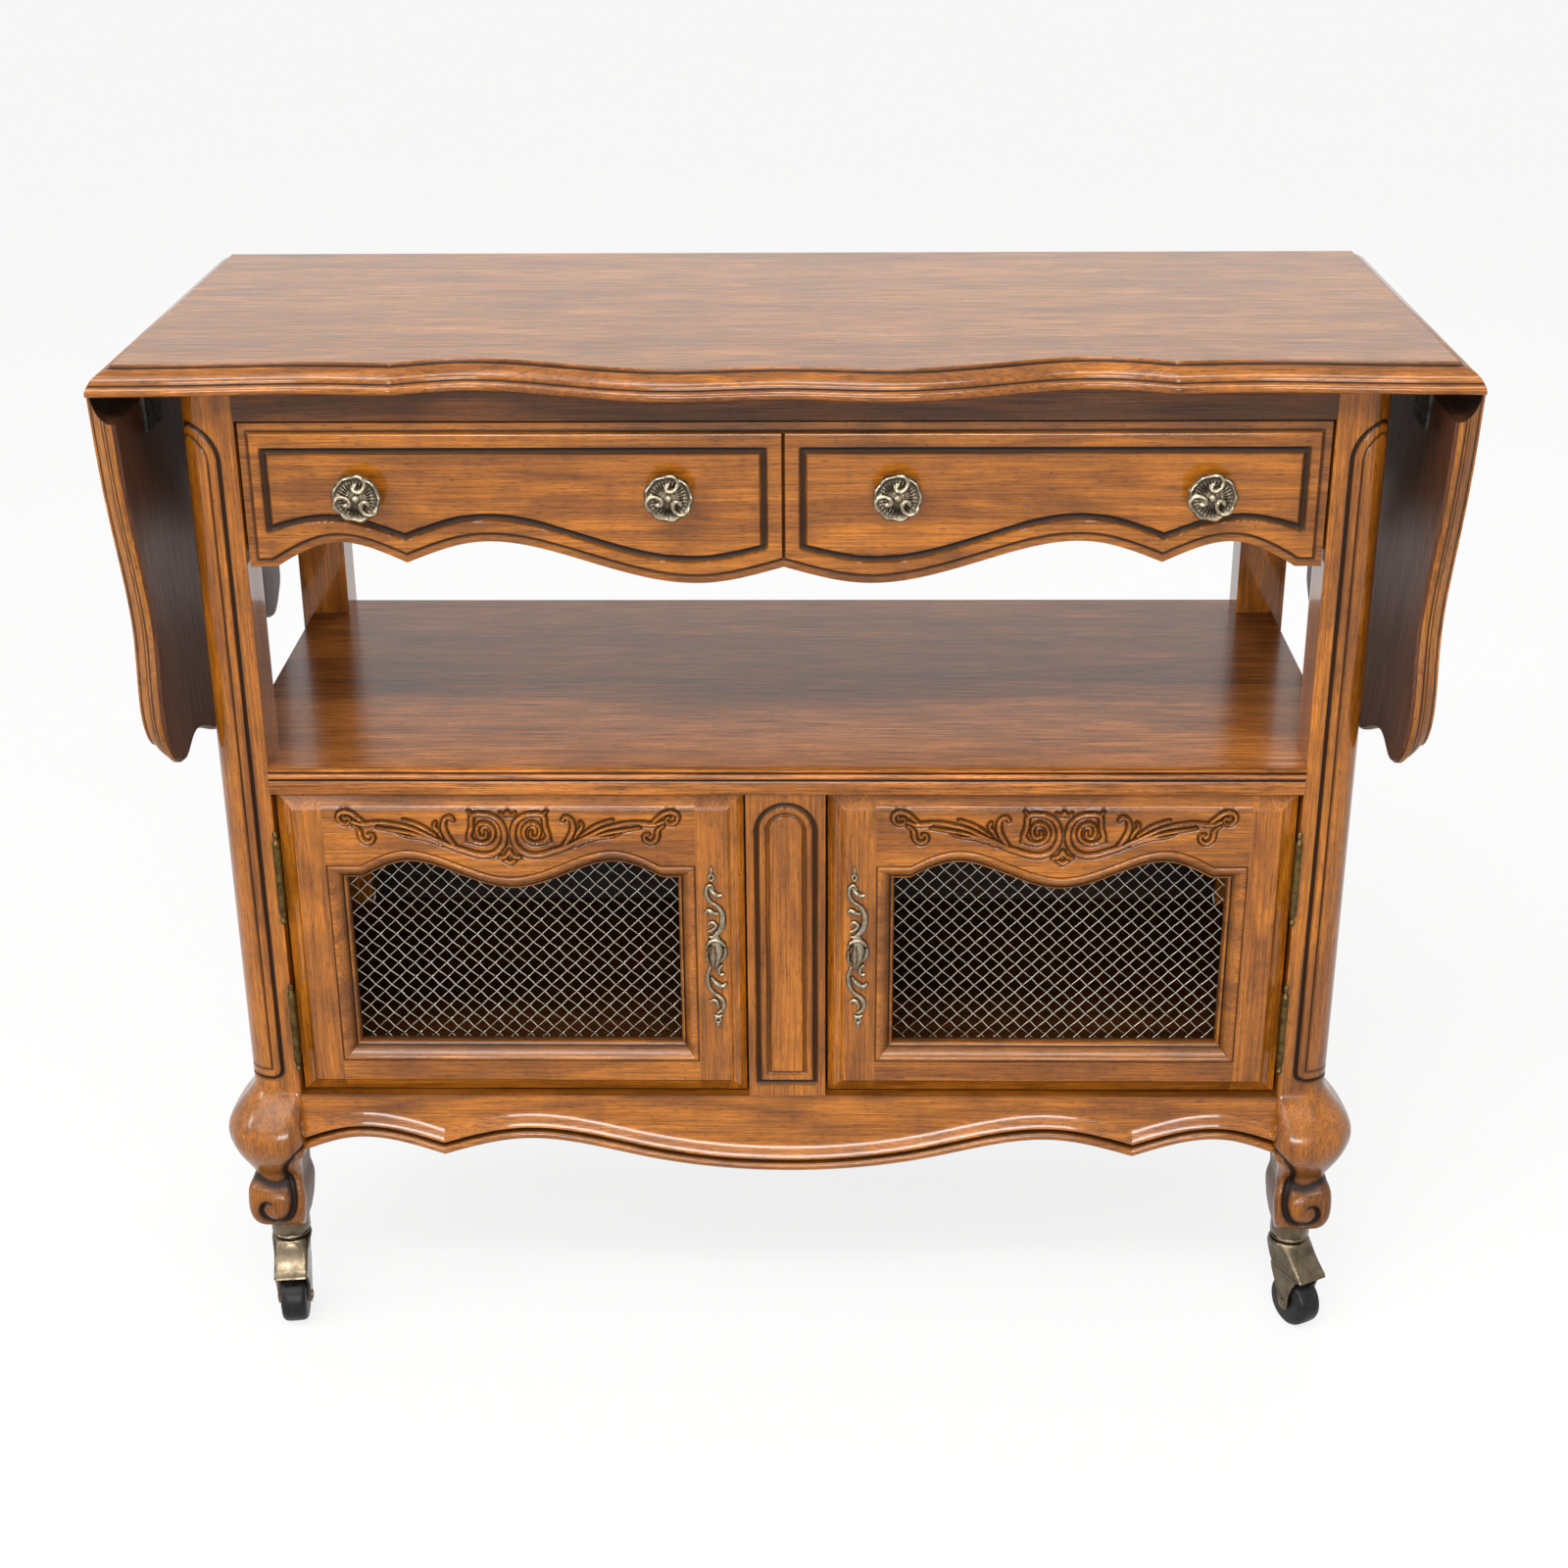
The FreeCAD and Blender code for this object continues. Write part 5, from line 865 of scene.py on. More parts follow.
def grilleWires(shape, way):
    # One layer: lines at 45 degrees clipped to the window, waved in depth so that each crossing passes
    # over and then under, and given a small round section
    path, move = windowPath(windowShape)
    rim = path + move * shape["inset"]
    middle = np.array((0.0, (windowShape["low"] + windowShape["flatZ"]) / 2.0))
    along = np.array((1.0, way)) * math.sqrt(0.5)
    across = np.array((-way, 1.0)) * math.sqrt(0.5)
    a = rim - middle
    b = np.roll(rim, -1, axis=0) - middle
    sa, sb = a @ across, b @ across
    offsets = shape["pitch"] * np.arange(-shape["lines"], shape["lines"] + 1)
    starts, ends, kept = [], [], []
    for offset in offsets:
        hit = (sa - offset) * (sb - offset) < 0
        if hit.sum() >= 2:
            t = ((offset - sa[hit]) / (sb[hit] - sa[hit]))[:, None]
            reach = np.sort((a[hit] + t * (b[hit] - a[hit])) @ along)
            if reach[-1] - reach[0] > shape["shortest"]:
                starts.append(reach[0])
                ends.append(reach[-1])
                kept.append(offset)
    kept = np.array(kept)[:, None]
    s = np.array(starts)[:, None] + np.linspace(0.0, 1.0, shape["steps"])[None, :] * (
        np.array(ends) - np.array(starts))[:, None]
    order = np.round(kept / shape["pitch"])
    crimp = shape["crimp"][0 if way > 0 else 1]
    wave = crimp * np.cos(np.pi * (s / shape["pitch"] + order)) * (1.0 if way > 0 else -1.0)
    flat = middle + s[..., None] * along + kept[..., None] * across
    ring = 2.0 * np.pi * np.arange(shape["sides"]) / shape["sides"]
    r = shape["radius"]
    x = windowShape["centre"] + flat[..., 0, None] + r * np.cos(ring) * across[0]
    z = flat[..., 1, None] + r * np.cos(ring) * across[1]
    y = shape["middle"] + wave[..., None] + r * np.sin(ring)
    points = np.stack((x, y, z), axis=-1)
    wires, steps, sides = x.shape
    quads = gridFaces(steps, sides, wrapColumns=True)
    shift = (np.arange(wires) * steps * sides)[:, None, None]
    caps = np.stack((np.arange(sides)[::-1], (steps - 1) * sides + np.arange(sides)))
    quads = (quads[None] + shift).reshape(-1, 4)
    return points.reshape(-1, 3), quads, (caps[None] + shift).reshape(-1, sides)


risePoints, riseQuads, riseCaps = grilleWires(grilleShape, 1.0)
fallPoints, fallQuads, fallCaps = grilleWires(grilleShape, -1.0)
wirePoints = np.concatenate((risePoints, fallPoints))
wireFaces = [np.concatenate((riseQuads, fallQuads + len(risePoints))),
             np.concatenate((riseCaps, fallCaps + len(risePoints)))]
print("wires woven,", len(wirePoints), "points")

pullShape = {
    "x": 58.0, "z": 369.25, "face": -180.0, "sides": 12, "steps": 28, "stout": (1.35, 1.3),
    # how much of the back half of a bar is left, how far it stands off, and how high the darkening climbs up
    # its sides: grime and painted shade
    "backShare": 0.4, "standOff": 0.8, "darkClimb": 1.3,
    # tapered bars in mm from the centre: points, half widths, half thickness
    "scrolls": (
        (((-2.4, 76.0), (-2.4, 72.2), (-2.4, 68.6)), (0.5, 1.3, 0.9), 1.4),
        (((-2.4, 68.6), (-4.4, 66.0), (-2.4, 63.2), (-0.4, 66.0), (-2.1, 68.3)), (0.9, 1.0, 0.9), 1.5),
        (((-0.8, 55.1), (-3.4, 59.2), (-6.1, 56.8), (-6.6, 50.4), (-4.0, 44.7), (0.7, 41.5)),
         (1.0, 1.4, 1.5, 1.2), 2.2),
        (((-4.2, 56.8), (-0.8, 51.9), (2.6, 49.6), (6.1, 50.4)), (0.9, 2.0, 1.1), 2.4),
        (((0.7, 41.5), (4.6, 36.8), (6.3, 29.6), (5.3, 21.2), (1.8, 15.2), (-3.2, 11.7), (-5.5, 12.6)),
         (1.2, 1.9, 2.2, 1.9, 1.0), 2.6),
        (((-7.9, 33.4), (-5.3, 36.0), (-2.1, 34.2), (2.5, 33.0)), (0.9, 1.9, 1.0), 2.0),
        (((-5.6, 22.7), (-2.6, 25.4), (0.6, 22.1), (-2.4, 18.1), (-5.6, 16.6)), (0.8, 1.5, 0.9), 1.9),
        (((-7.4, 3.0), (-4.2, 7.4), (0.7, 9.1), (5.3, 6.5), (7.9, 3.3)), (1.0, 1.8, 1.9, 1.2), 3.0),
        (((-6.9, -0.4), (-6.1, -10.3), (-3.7, -15.2)), (1.0, 1.7, 1.0), 2.4),
        (((7.9, 2.2), (6.9, -6.2), (2.9, -10.8)), (1.2, 1.9, 1.0), 2.6),
        (((0.3, 13.0), (0.3, 0.7), (-1.3, -16.6)), (2.4, 5.2, 2.2), 3.2),
        (((-3.7, -14.9), (-6.6, -21.0), (-6.9, -29.6), (-4.5, -37.1), (-0.5, -41.2)),
         (1.0, 1.4, 1.7, 1.2), 2.4),
        (((5.8, -13.7), (2.4, -18.4), (3.7, -23.0), (6.6, -22.4)), (1.0, 1.5, 0.9), 2.0),
        (((-4.2, -25.0), (0.0, -31.1), (5.0, -34.0), (8.7, -30.8)), (0.9, 2.1, 1.1), 2.4),
        (((-0.5, -41.2), (4.0, -45.2), (6.1, -51.3), (4.0, -57.1), (0.5, -59.4)), (1.1, 1.8, 1.5, 1.0), 2.3),
        (((-5.5, -48.7), (-2.1, -47.0), (0.8, -49.9), (1.3, -54.5)), (0.9, 1.6, 1.0), 1.9),
        (((-2.4, -60.8), (1.1, -62.9), (4.8, -60.8)), (0.7, 1.5, 0.7), 1.8),
        (((1.1, -62.9), (-1.1, -65.7), (1.1, -68.3), (3.2, -65.7), (1.3, -63.1)), (0.9, 1.0, 0.9), 1.5),
        (((1.1, -68.1), (1.1, -70.7), (1.1, -74.0)), (0.8, 1.2, 0.4), 1.4)),
    "drop": (((-1.8, 5.6), (-2.0, -3.6), (-2.0, -15.6)), (1.6, 2.7, 1.7), 7.0)}


def ribbonSurface(points, widths, thick, shape):
    # Half-round bar along a spline: its section is an ellipse, as wide as the taper says, sunk to its middle
    path = curveThrough(points, shape["steps"])
    way = np.gradient(path, axis=0)
    way /= np.linalg.norm(way, axis=1)[:, None]
    side = np.stack((-way[:, 1], way[:, 0]), axis=1)
    width = taper(widths, len(path))
    sides = shape["sides"]
    ring = 2.0 * np.pi * np.arange(sides) / sides
    spread = shape["stout"][0] * width[:, None] * np.cos(ring)[None, :]
    flat = path[:, None, :] + side[:, None, :] * spread[..., None]
    lift = -shape["stout"][1] * thick * np.sin(ring)[None, :] * (width / max(widths))[:, None] ** 0.5
    y = shape["face"] + np.where(lift > 0.0, shape["backShare"] * lift, lift) - shape["standOff"]
    solid = np.stack((shape["x"] + flat[..., 0], y, shape["z"] + flat[..., 1]), axis=-1)
    # Each bar darkens from its front round to its sides and back: grime and painted shade where it meets the
    # door
    dark = np.broadcast_to(np.clip(1.0 - shape["darkClimb"] * np.sin(ring), 0.0, 1.0), y.shape)
    rows = len(path)
    caps = np.stack((np.arange(sides)[::-1], (rows - 1) * sides + np.arange(sides)))
    return solid.reshape(-1, 3), gridFaces(rows, sides, wrapColumns=True), caps, dark.ravel()


def pullSurface(shape):
    # Open scrollwork that runs bar into bar, and the drop in front
    blocks = [ribbonSurface(points, widths, thick, shape) for points, widths, thick in shape["scrolls"]]
    blocks.append(ribbonSurface(*shape["drop"], shape))
    sizes = np.cumsum([0] + [len(block[0]) for block in blocks])
    points = np.concatenate([block[0] for block in blocks])
    quads = np.concatenate([block[1] + start for block, start in zip(blocks, sizes)])
    caps = np.concatenate([block[2] + start for block, start in zip(blocks, sizes)])
    return points, [quads, caps], np.concatenate([block[3] for block in blocks])


pullPoints, pullFaces, pullGrimeAndShade = pullSurface(pullShape)


def movedAcross(points, fromX):
    # The weave and the pulls aren't mirrored between the doors: the left ones are moved across instead
    return points - np.array((2.0 * fromX, 0.0, 0.0))


for side, turn in (("right", np.asarray), ("left", mirrored)):
    name = side.capitalize()
    body = "door_" + side
    meshPiece("doorTopRail" + name, turn(railPoints), railFaces, "fruitwoodX", body, "glazed_fruitwood",
              [body + "_top_rail"], railGlazeAndShade)
    meshPiece("windowMoulding" + name, turn(mouldingPoints), mouldingFaces, "fruitwoodX", body,
              "glazed_fruitwood", [body + "_moulding"], mouldingGlazeAndShade, sharp=50.0)
    wires = wirePoints if side == "right" else movedAcross(wirePoints, windowShape["centre"])
    scrolls = pullPoints if side == "right" else movedAcross(pullPoints, pullShape["x"])
    meshPiece("wovenGrille" + name, wires, wireFaces, "drawnBrassWire", body, "brass_wire",
              [body + "_grille"])
    meshPiece("doorPull" + name, scrolls, pullFaces, "castAntiqueBrass", body, "antique_brass",
              [body + "_pull"], pullGrimeAndShade)
print("doors made")


# Drawer knobs: dished rosettes with three scrolls chased in the face
knobShape = {
    "x": (86.0, 321.0), "z": 758.6, "face": -180.0, "radius": 17.2, "reach": 19.0, "rings": 56, "spokes": 120,
    # outline from the centre of the face round to the back: share of the radius, share of the reach
    "outline": ((0.0, 0.96), (0.25, 0.95), (0.5, 0.9), (0.75, 0.88), (0.88, 0.9), (0.97, 0.86), (1.0, 0.8),
                (0.94, 0.72), (0.6, 0.62), (0.33, 0.5), (0.29, 0.25), (0.42, 0.08), (0.44, 0.0), (0.0, 0.0)),
    "scrolls": 3, "lift": 1.8, "spread": 1.1, "scrollHalf": 1.6, "bead": (1.3, 2.4),
    # brim: height, where it is and how wide, then its lobes; flutes: count, height, where and how wide
    "brim": (0.8, 15.6, 1.3), "lobes": 9.0, "lobeLift": 0.35, "lobeSpread": 0.03,
    "flutes": (30.0, 0.3, 9.5, 3.5),
    "curl": ((-1.0, 16.5), (4.0, 15.6), (6.6, 11.3), (4.8, 6.4), (0.8, 5.0), (-1.6, 6.9), (-0.4, 9.2))}


def knobSurface(shape, middleX):
    # Turned outline with ridges on the face: the distance to each curled scroll sets the lift, with a bead in
    # the middle, a lobed brim as a bell curve of the radius, and flutes as a cosine of the angle
    outline = np.array(shape["outline"])
    t = np.linspace(0.0, 1.0, shape["rings"])
    place = np.linspace(0.0, 1.0, len(outline))
    r = shape["radius"] * np.interp(t, place, outline[:, 0])[:, None]
    out = shape["reach"] * np.interp(t, place, outline[:, 1])[:, None]
    turn = (2.0 * np.pi * np.arange(shape["spokes"]) / shape["spokes"])[None, :]
    u = r * np.cos(turn)
    v = r * np.sin(turn)
    gap = np.full(u.shape, 99.0)
    for k in range(shape["scrolls"]):
        angle = 2.0 * math.pi * k / shape["scrolls"]
        spin = np.array(((math.cos(angle), -math.sin(angle)), (math.sin(angle), math.cos(angle))))
        near, _ = nearPath(u, v, curveThrough(shape["curl"], 40) @ spin.T)
        gap = np.minimum(gap, near)
    face = smoothStep(out, shape["reach"] * 0.8, shape["reach"] * 0.88)
    ridge = halfRound(gap, shape["scrollHalf"])
    beadLift, beadHalf = shape["bead"]
    bead = halfRound(r, beadHalf) * np.ones_like(u)
    brimLift, brimAt, brimWide = shape["brim"]
    lobe = np.cos(shape["lobes"] * turn)
    brim = bell(r - brimAt, brimWide) * (1.0 + shape["lobeLift"] * lobe)
    flutes, fluteLift, fluteAt, fluteWide = shape["flutes"]
    flute = fluteLift * np.cos(flutes * turn) * bell(r - fluteAt, fluteWide)
    relief = np.maximum(np.maximum(ridge, beadLift * bead), brimLift * brim)
    out = out + shape["lift"] * face * (relief + flute * (relief < 0.4) - 0.5)
    wavy = shape["spread"] * (1.0 + shape["lobeSpread"] * lobe * smoothStep(r, 12.0, 16.0))
    u = u * wavy
    v = v * wavy
    glazeAndShade = face * (1.0 - smoothStep(relief, 0.15, 0.75)) * (0.75 - 0.6 * flute)
    points = np.stack((middleX + u, shape["face"] - out, shape["z"] + v), axis=-1)
    rows = shape["rings"]
    inner = points[1:-1].reshape(-1, 3)
    ends = np.stack((points[0, 0], points[-1, 0]))
    ring = np.arange(shape["spokes"])
    on = (ring + 1) % shape["spokes"]
    last = (rows - 3) * shape["spokes"]
    tips = np.full_like(ring, len(inner))
    fans = np.concatenate((np.stack((tips, on, ring), axis=1),
                           np.stack((tips + 1, last + ring, last + on), axis=1)))
    quads = gridFaces(rows - 2, shape["spokes"], wrapColumns=True)
    values = np.concatenate((glazeAndShade[1:-1].ravel(), [0.3, 0.0]))
    return np.concatenate((inner, ends)), quads[:, ::-1], fans[:, ::-1], values


knobBlocks = [knobSurface(knobShape, side * x) for x in knobShape["x"] for side in (-1.0, 1.0)]
knobSize = len(knobBlocks[0][0])
meshPiece("drawerKnobs", np.concatenate([block[0] for block in knobBlocks]),
          [np.concatenate([block[1] + k * knobSize for k, block in enumerate(knobBlocks)]),
           np.concatenate([block[2] + k * knobSize for k, block in enumerate(knobBlocks)])],
          "castAntiqueBrass", "drawer", "antique_brass", ["drawer_knobs"],
          np.concatenate([block[3] for block in knobBlocks]))
print("knobs made")


# Centre stile: two dark grooves, round headed, one inside the other
stileShape = {"half": 32.0, "low": 229.5, "high": 509.0, "front": -180.0, "back": -158.0, "head": 475.0,
              # half width and foot of each groove, its own half width, its depth and how dark it is with
              # glaze and painted shade
              "grooves": ((23.5, 242.0, 2.0, 2.4, 1.1), (15.0, 251.0, 1.7, 2.2, 0.6)),
              "darkShare": 1.1, "softDip": (0.5, 4.0)}  # width of the glaze and painted shade against the groove's, then the soft edge


def stileRelief(x, z, shape):
    # Round-bottomed grooves by distance to each round-headed outline; the strip between them is a soft bead
    depth = np.zeros_like(z)
    glazeAndShade = np.zeros_like(z)
    for half, foot, width, sunk, dark in shape["grooves"]:
        head = arcPath((0.0, shape["head"]), half, 0.0, 90.0, 20)
        outline = np.concatenate(([[0.0, foot], [half, foot]], head))
        near, _ = nearPath(np.abs(x), z, outline)
        depth += sunk * halfRound(near, width) + shade(near, shape["softDip"])
        glazeAndShade += dark * bell(near, width * shape["darkShare"])
    return depth, glazeAndShade


stileX = np.linspace(-stileShape["half"], stileShape["half"], 77)
stilePoints, stileFaces, stileGlazeAndShade = boardPoints(
    stileX, np.full_like(stileX, stileShape["low"]), np.full_like(stileX, stileShape["high"]), 330,
    lambda x, z: stileRelief(x, z, stileShape), stileShape["front"], stileShape["back"])
meshPiece("centreStile", stilePoints, stileFaces, "fruitwoodZ", "carcass", "glazed_fruitwood",
          ["centre_stile"], stileGlazeAndShade)
print("centre stile made")


def loftSurface(loops):
    # Skin over a stack of closed outlines with as many points each, capped at both ends, faces outward
    loops = np.asarray(loops, dtype=float)
    levels, count = loops.shape[:2]
    points = loops.reshape(-1, 3)
    caps = np.stack((np.arange(count)[::-1], (levels - 1) * count + np.arange(count)))
    faces = [gridFaces(levels, count, wrapColumns=True), caps]
    if signedVolume(points - points.mean(axis=0), faces) < 0:
        faces = [block[:, ::-1] for block in faces]
    return points, faces


def joined(blocks):
    # One set of points and faces from several
    starts = np.cumsum([0] + [len(points) for points, _ in blocks])
    faces = [block + start for (_, group), start in zip(blocks, starts) for block in group]
    return np.concatenate([points for points, _ in blocks]), faces


# Top: serpentine front of a bead and an ogee with dark quirks, rule-joint rounds at the ends
topShape = {
    "hinge": 495.0, "round": 19.0, "steady": 430.0, "under": 838.0, "front": -204.0, "back": 221.0,
    "step": 4.0,
    "middle": ((0.0, -10.0), (78.0, -16.9), (142.0, -6.0), (238.0, 17.0), (290.0, 3.0)),
    "outer": ((290.0, 3.0), (350.0, 7.5), (430.0, 3.0), (495.0, 0.0), (535.0, -0.5)),
    # edge from the underside up: set back, height, and how dark with glaze and painted shade in the quirks
    "edge": ((6.0, 0.0, 0.0), (3.0, 0.0, 0.2), (1.5, 0.7, 0.0), (0.5, 1.9, 0.0), (0.0, 3.4, 0.0),
             (0.0, 4.6, 0.0), (0.5, 6.0, 0.0), (1.5, 7.2, 0.1), (2.6, 7.8, 0.5), (3.4, 7.9, 1.0),
             (4.2, 8.2, 1.0), (4.5, 8.9, 0.5), (4.4, 9.8, 0.0), (4.6, 11.0, 0.0), (5.3, 12.6, 0.0),
             (6.6, 14.2, 0.0), (8.4, 15.8, 0.0),
             (10.4, 17.2, 0.0), (12.2, 18.2, 0.0), (13.4, 18.6, 0.4), (14.0, 18.6, 1.0), (14.6, 18.7, 1.0),
             (14.7, 19.4, 0.9), (14.7, 20.6, 0.35), (14.8, 21.6, 0.1), (15.2, 22.0, 0.0), (17.0, 22.0, 0.0))}


def topFront(x, shape):
    # Serpentine line: one spline for the middle run and one for each outer run, meeting in cusps
    middle = list(shape["middle"])
    run = curveThrough([(-a, b) for a, b in reversed(middle[1:])] + middle, 241)
    line = np.concatenate((run[run[:, 0] >= 0.0], curveThrough(shape["outer"], 80)[1:]))
    return shape["front"] + np.interp(np.abs(x), line[:, 0], line[:, 1])


def topSurface(shape):
    # Each level of the edge is one outline: its front and back set back, its ends out to the rule-joint round
    edge = np.array(shape["edge"])
    right = np.arange(shape["step"], shape["hinge"], shape["step"])
    cusp = shape["middle"][-1][0]
    right = np.unique(np.concatenate((right, [cusp, shape["steady"], shape["hinge"]])))
    across = np.concatenate((-right[::-1], [0.0], right))[None, :]
    end = shape["hinge"] + np.sqrt(np.clip(shape["round"] ** 2 - edge[:, 1:2] ** 2, 0.0, None))
    share = np.clip((np.abs(across) - shape["steady"]) / (shape["hinge"] - shape["steady"]), 0.0, 1.0)
    x = across + np.sign(across) * share * (end - shape["hinge"])
    z = np.broadcast_to(shape["under"] + edge[:, 1:2], x.shape)
    front = np.stack((x, topFront(x, shape) + edge[:, :1], z), axis=-1)
    back = np.stack((x, np.broadcast_to(shape["back"] - edge[:, :1], x.shape), z), axis=-1)[:, ::-1]
    points, faces = loftSurface(np.concatenate((front, back), axis=1))
    return points, faces, np.repeat(edge[:, 2], 2 * x.shape[1])


topPoints, topFaces, topGlazeAndShade = topSurface(topShape)
topPiece = meshPiece("mouldedTop", topPoints, topFaces, "topVeneer", "carcass", "veneered_fruitwood",
                     ["top_panel"], topGlazeAndShade)
# the moulded edge is solid wood with the carved fronts' gloss; the lid and the underside keep the veneer
topPiece.data.materials.append(paints["fruitwoodX"])
topSlots = np.zeros(len(topPiece.data.polygons), dtype=np.int32)
topLevels = len(topShape["edge"])
topSlots[:(topLevels - 2) * (len(topPoints) // topLevels)] = 1
topPiece.data.polygons.foreach_set("material_index", topSlots)
print("top made")


# Shelf: plain board between the posts with a fascia, a bead and a nosing along the front
shelfShape = {
    "under": 509.0, "front": -180.0, "half": 412.0, "side": 445.0, "postBack": -135.0, "backPost": 179.0,
    "back": 214.0,
    # front from the underside up: forward of the posts, height, and how dark with glaze and painted shade in
    # the quirks
    "edge": ((0.0, 0.0, 0.3), (2.2, 0.0, 0.5), (2.5, 0.6, 0.1), (2.5, 11.0, 0.1), (2.2, 11.6, 0.6),
             (1.0, 11.9, 1.0), (1.0, 13.0, 1.0), (2.4, 13.3, 0.5), (4.2, 14.0, 0.0), (5.4, 15.2, 0.0),
             (5.6, 16.4, 0.0),
             (5.0, 17.8, 0.0), (3.8, 18.6, 0.3), (2.4, 18.8, 1.0), (2.4, 19.5, 1.0), (3.6, 19.8, 0.3),
             (5.0, 20.4, 0.0), (5.6, 21.4, 0.0), (5.2, 22.4, 0.0), (4.0, 23.0, 0.0), (0.0, 23.0, 0.0))}


def shelfSurface(shape):
    # Each level of the front is one outline of the board, notched round the four posts
    edge = np.array(shape["edge"])
    half, side = shape["half"], shape["side"]
    plan = np.array(((-half, 0.0), (half, 0.0), (half, shape["postBack"]), (side, shape["postBack"]),
                     (side, shape["backPost"]), (half, shape["backPost"]), (half, shape["back"]),
                     (-half, shape["back"]), (-half, shape["backPost"]), (-side, shape["backPost"]),
                     (-side, shape["postBack"]), (-half, shape["postBack"])))
    x = np.broadcast_to(plan[:, 0], (len(edge), len(plan)))
    y = np.where(np.arange(len(plan)) < 2, shape["front"] - edge[:, :1], plan[:, 1])
    z = np.broadcast_to(shape["under"] + edge[:, 1:2], x.shape)
    points, faces = loftSurface(np.stack((x, y, z), axis=-1))
    return points, faces, np.where(np.arange(len(plan)) < 2, edge[:, 2:], 0.0).ravel()


shelfPoints, shelfFaces, shelfGlazeAndShade = shelfSurface(shelfShape)
meshPiece("mouldedShelf", shelfPoints, shelfFaces, "shelfVeneerPaintedLight", "carcass", "veneered_fruitwood", ["shelf"],
          shelfGlazeAndShade)
print("shelf made")


# Casters: turned collar, hooded fork with riveted cheeks, and a rounded tyre, each about its swivel axis
casterShape = {
    "x": 437.0, "y": {"front": -162.0, "back": 198.0}, "trail": 16.0, "axle": 22.5,
    "turns": {"front_left": 6.0, "front_right": 28.0, "back_left": -12.0, "back_right": 20.0},
    # height, radius
    "collar": ((79.8, 12.0), (79.8, 15.4), (80.4, 16.2), (82.2, 16.4), (82.8, 15.6), (83.6, 15.4),
               (84.2, 16.4), (85.0, 16.8), (99.0, 16.8), (102.4, 16.2), (102.4, 8.0)),
    # height, half width, front, back, corner
    "hood": ((92.0, 9.0, -9.0, 9.0, 9.0), (79.4, 9.0, -9.0, 9.0, 9.0), (79.2, 15.4, -15.4, 15.4, 15.4),
             (78.4, 16.8, -16.8, 16.8, 16.8), (76.6, 17.2, -17.6, 17.0, 15.5),
             (73.0, 16.0, -19.2, 16.0, 10.0), (69.0, 14.8, -21.8, 14.0, 6.0),
             (64.0, 14.4, -26.0, 11.0, 4.0), (59.0, 14.4, -31.5, 8.0, 3.0), (55.5, 14.4, -36.0, 5.0, 2.5),
             (53.0, 14.4, -37.0, 3.0, 2.5), (52.2, 13.0, -35.5, 2.0, 2.0)),
    # height, front, back of the cheeks, and how far out they stand
    "cheek": ((54.0, -33.0, 4.0), (48.0, -29.0, 2.0), (42.0, -26.0, -1.0), (34.0, -23.2, -6.0),
              (28.0, -22.6, -8.6), (22.5, -22.5, -9.5), (19.0, -21.6, -10.4), (17.0, -19.6, -12.4),
              (16.2, -17.5, -14.5)),
    "cheekOut": (12.1, 14.4),
    # out from the middle of the wheel, radius
    "rivet": ((12.0, 2.4), (14.4, 4.2), (15.0, 4.2), (15.5, 3.0), (15.6, 1.0)),
    "tyre": ((-11.0, 7.0), (-11.0, 17.5), (-10.6, 19.6), (-9.4, 21.2), (-7.4, 22.2), (-4.0, 22.5),
             (4.0, 22.5), (7.4, 22.2), (9.4, 21.2), (10.6, 19.6), (11.0, 17.5), (11.0, 7.0))}


def turnedAbout(profile, count, upright):
    # Circles of each radius at each height, or at each distance out along the axle
    profile = np.array(profile)
    angle = 2.0 * np.pi * np.arange(count) / count
    a = profile[:, 1:2] * np.cos(angle)
    b = profile[:, 1:2] * np.sin(angle)
    far = np.broadcast_to(profile[:, :1], a.shape)
    if upright:
        return np.stack((a, b, far), axis=-1)
    return np.stack((far, a - casterShape["trail"], b + casterShape["axle"]), axis=-1)


def hoodLoops(levels, count):
    # Rounded rectangle at each height: four corner arcs
    height, half, front, back, corner = [column[:, None] for column in np.array(levels).T]
    angle = np.radians(np.linspace(-90.0, 0.0, count))[None, :]
    xs, ys = [], []
    for quarter, (sideways, onward) in enumerate(((1.0, front), (1.0, back), (-1.0, back), (-1.0, front))):
        turn = angle + quarter * np.pi / 2.0
        middle = onward + corner * (1.0 if quarter in (0, 3) else -1.0)
        xs.append(sideways * (half - corner) + corner * np.cos(turn))
        ys.append(middle + corner * np.sin(turn))
    x = np.concatenate(xs, axis=1)
    return np.stack((x, np.concatenate(ys, axis=1), np.broadcast_to(height, x.shape)), axis=-1)


def cheekLoops(shape, side):
    # Flat plate: a rectangle at each height
    level = np.array(shape["cheek"])
    near, far = [side * out for out in shape["cheekOut"]]
    x = np.tile((near, far, far, near), (len(level), 1))
    y = level[:, (1, 1, 2, 2)]
    return np.stack((x, y, np.broadcast_to(level[:, :1], x.shape)), axis=-1)


def atCorner(points, corner):
    # Turned about the swivel axis and moved under its leg
    end, side = corner.split("_")
    turn = math.radians(casterShape["turns"][corner])
    along, over = math.cos(turn), math.sin(turn)
    spin = np.array(((along, -over, 0.0), (over, along, 0.0), (0.0, 0.0, 1.0)))
    across = casterShape["x"] if side == "right" else -casterShape["x"]
    return points @ spin.T + np.array((across, casterShape["y"][end], 0.0))


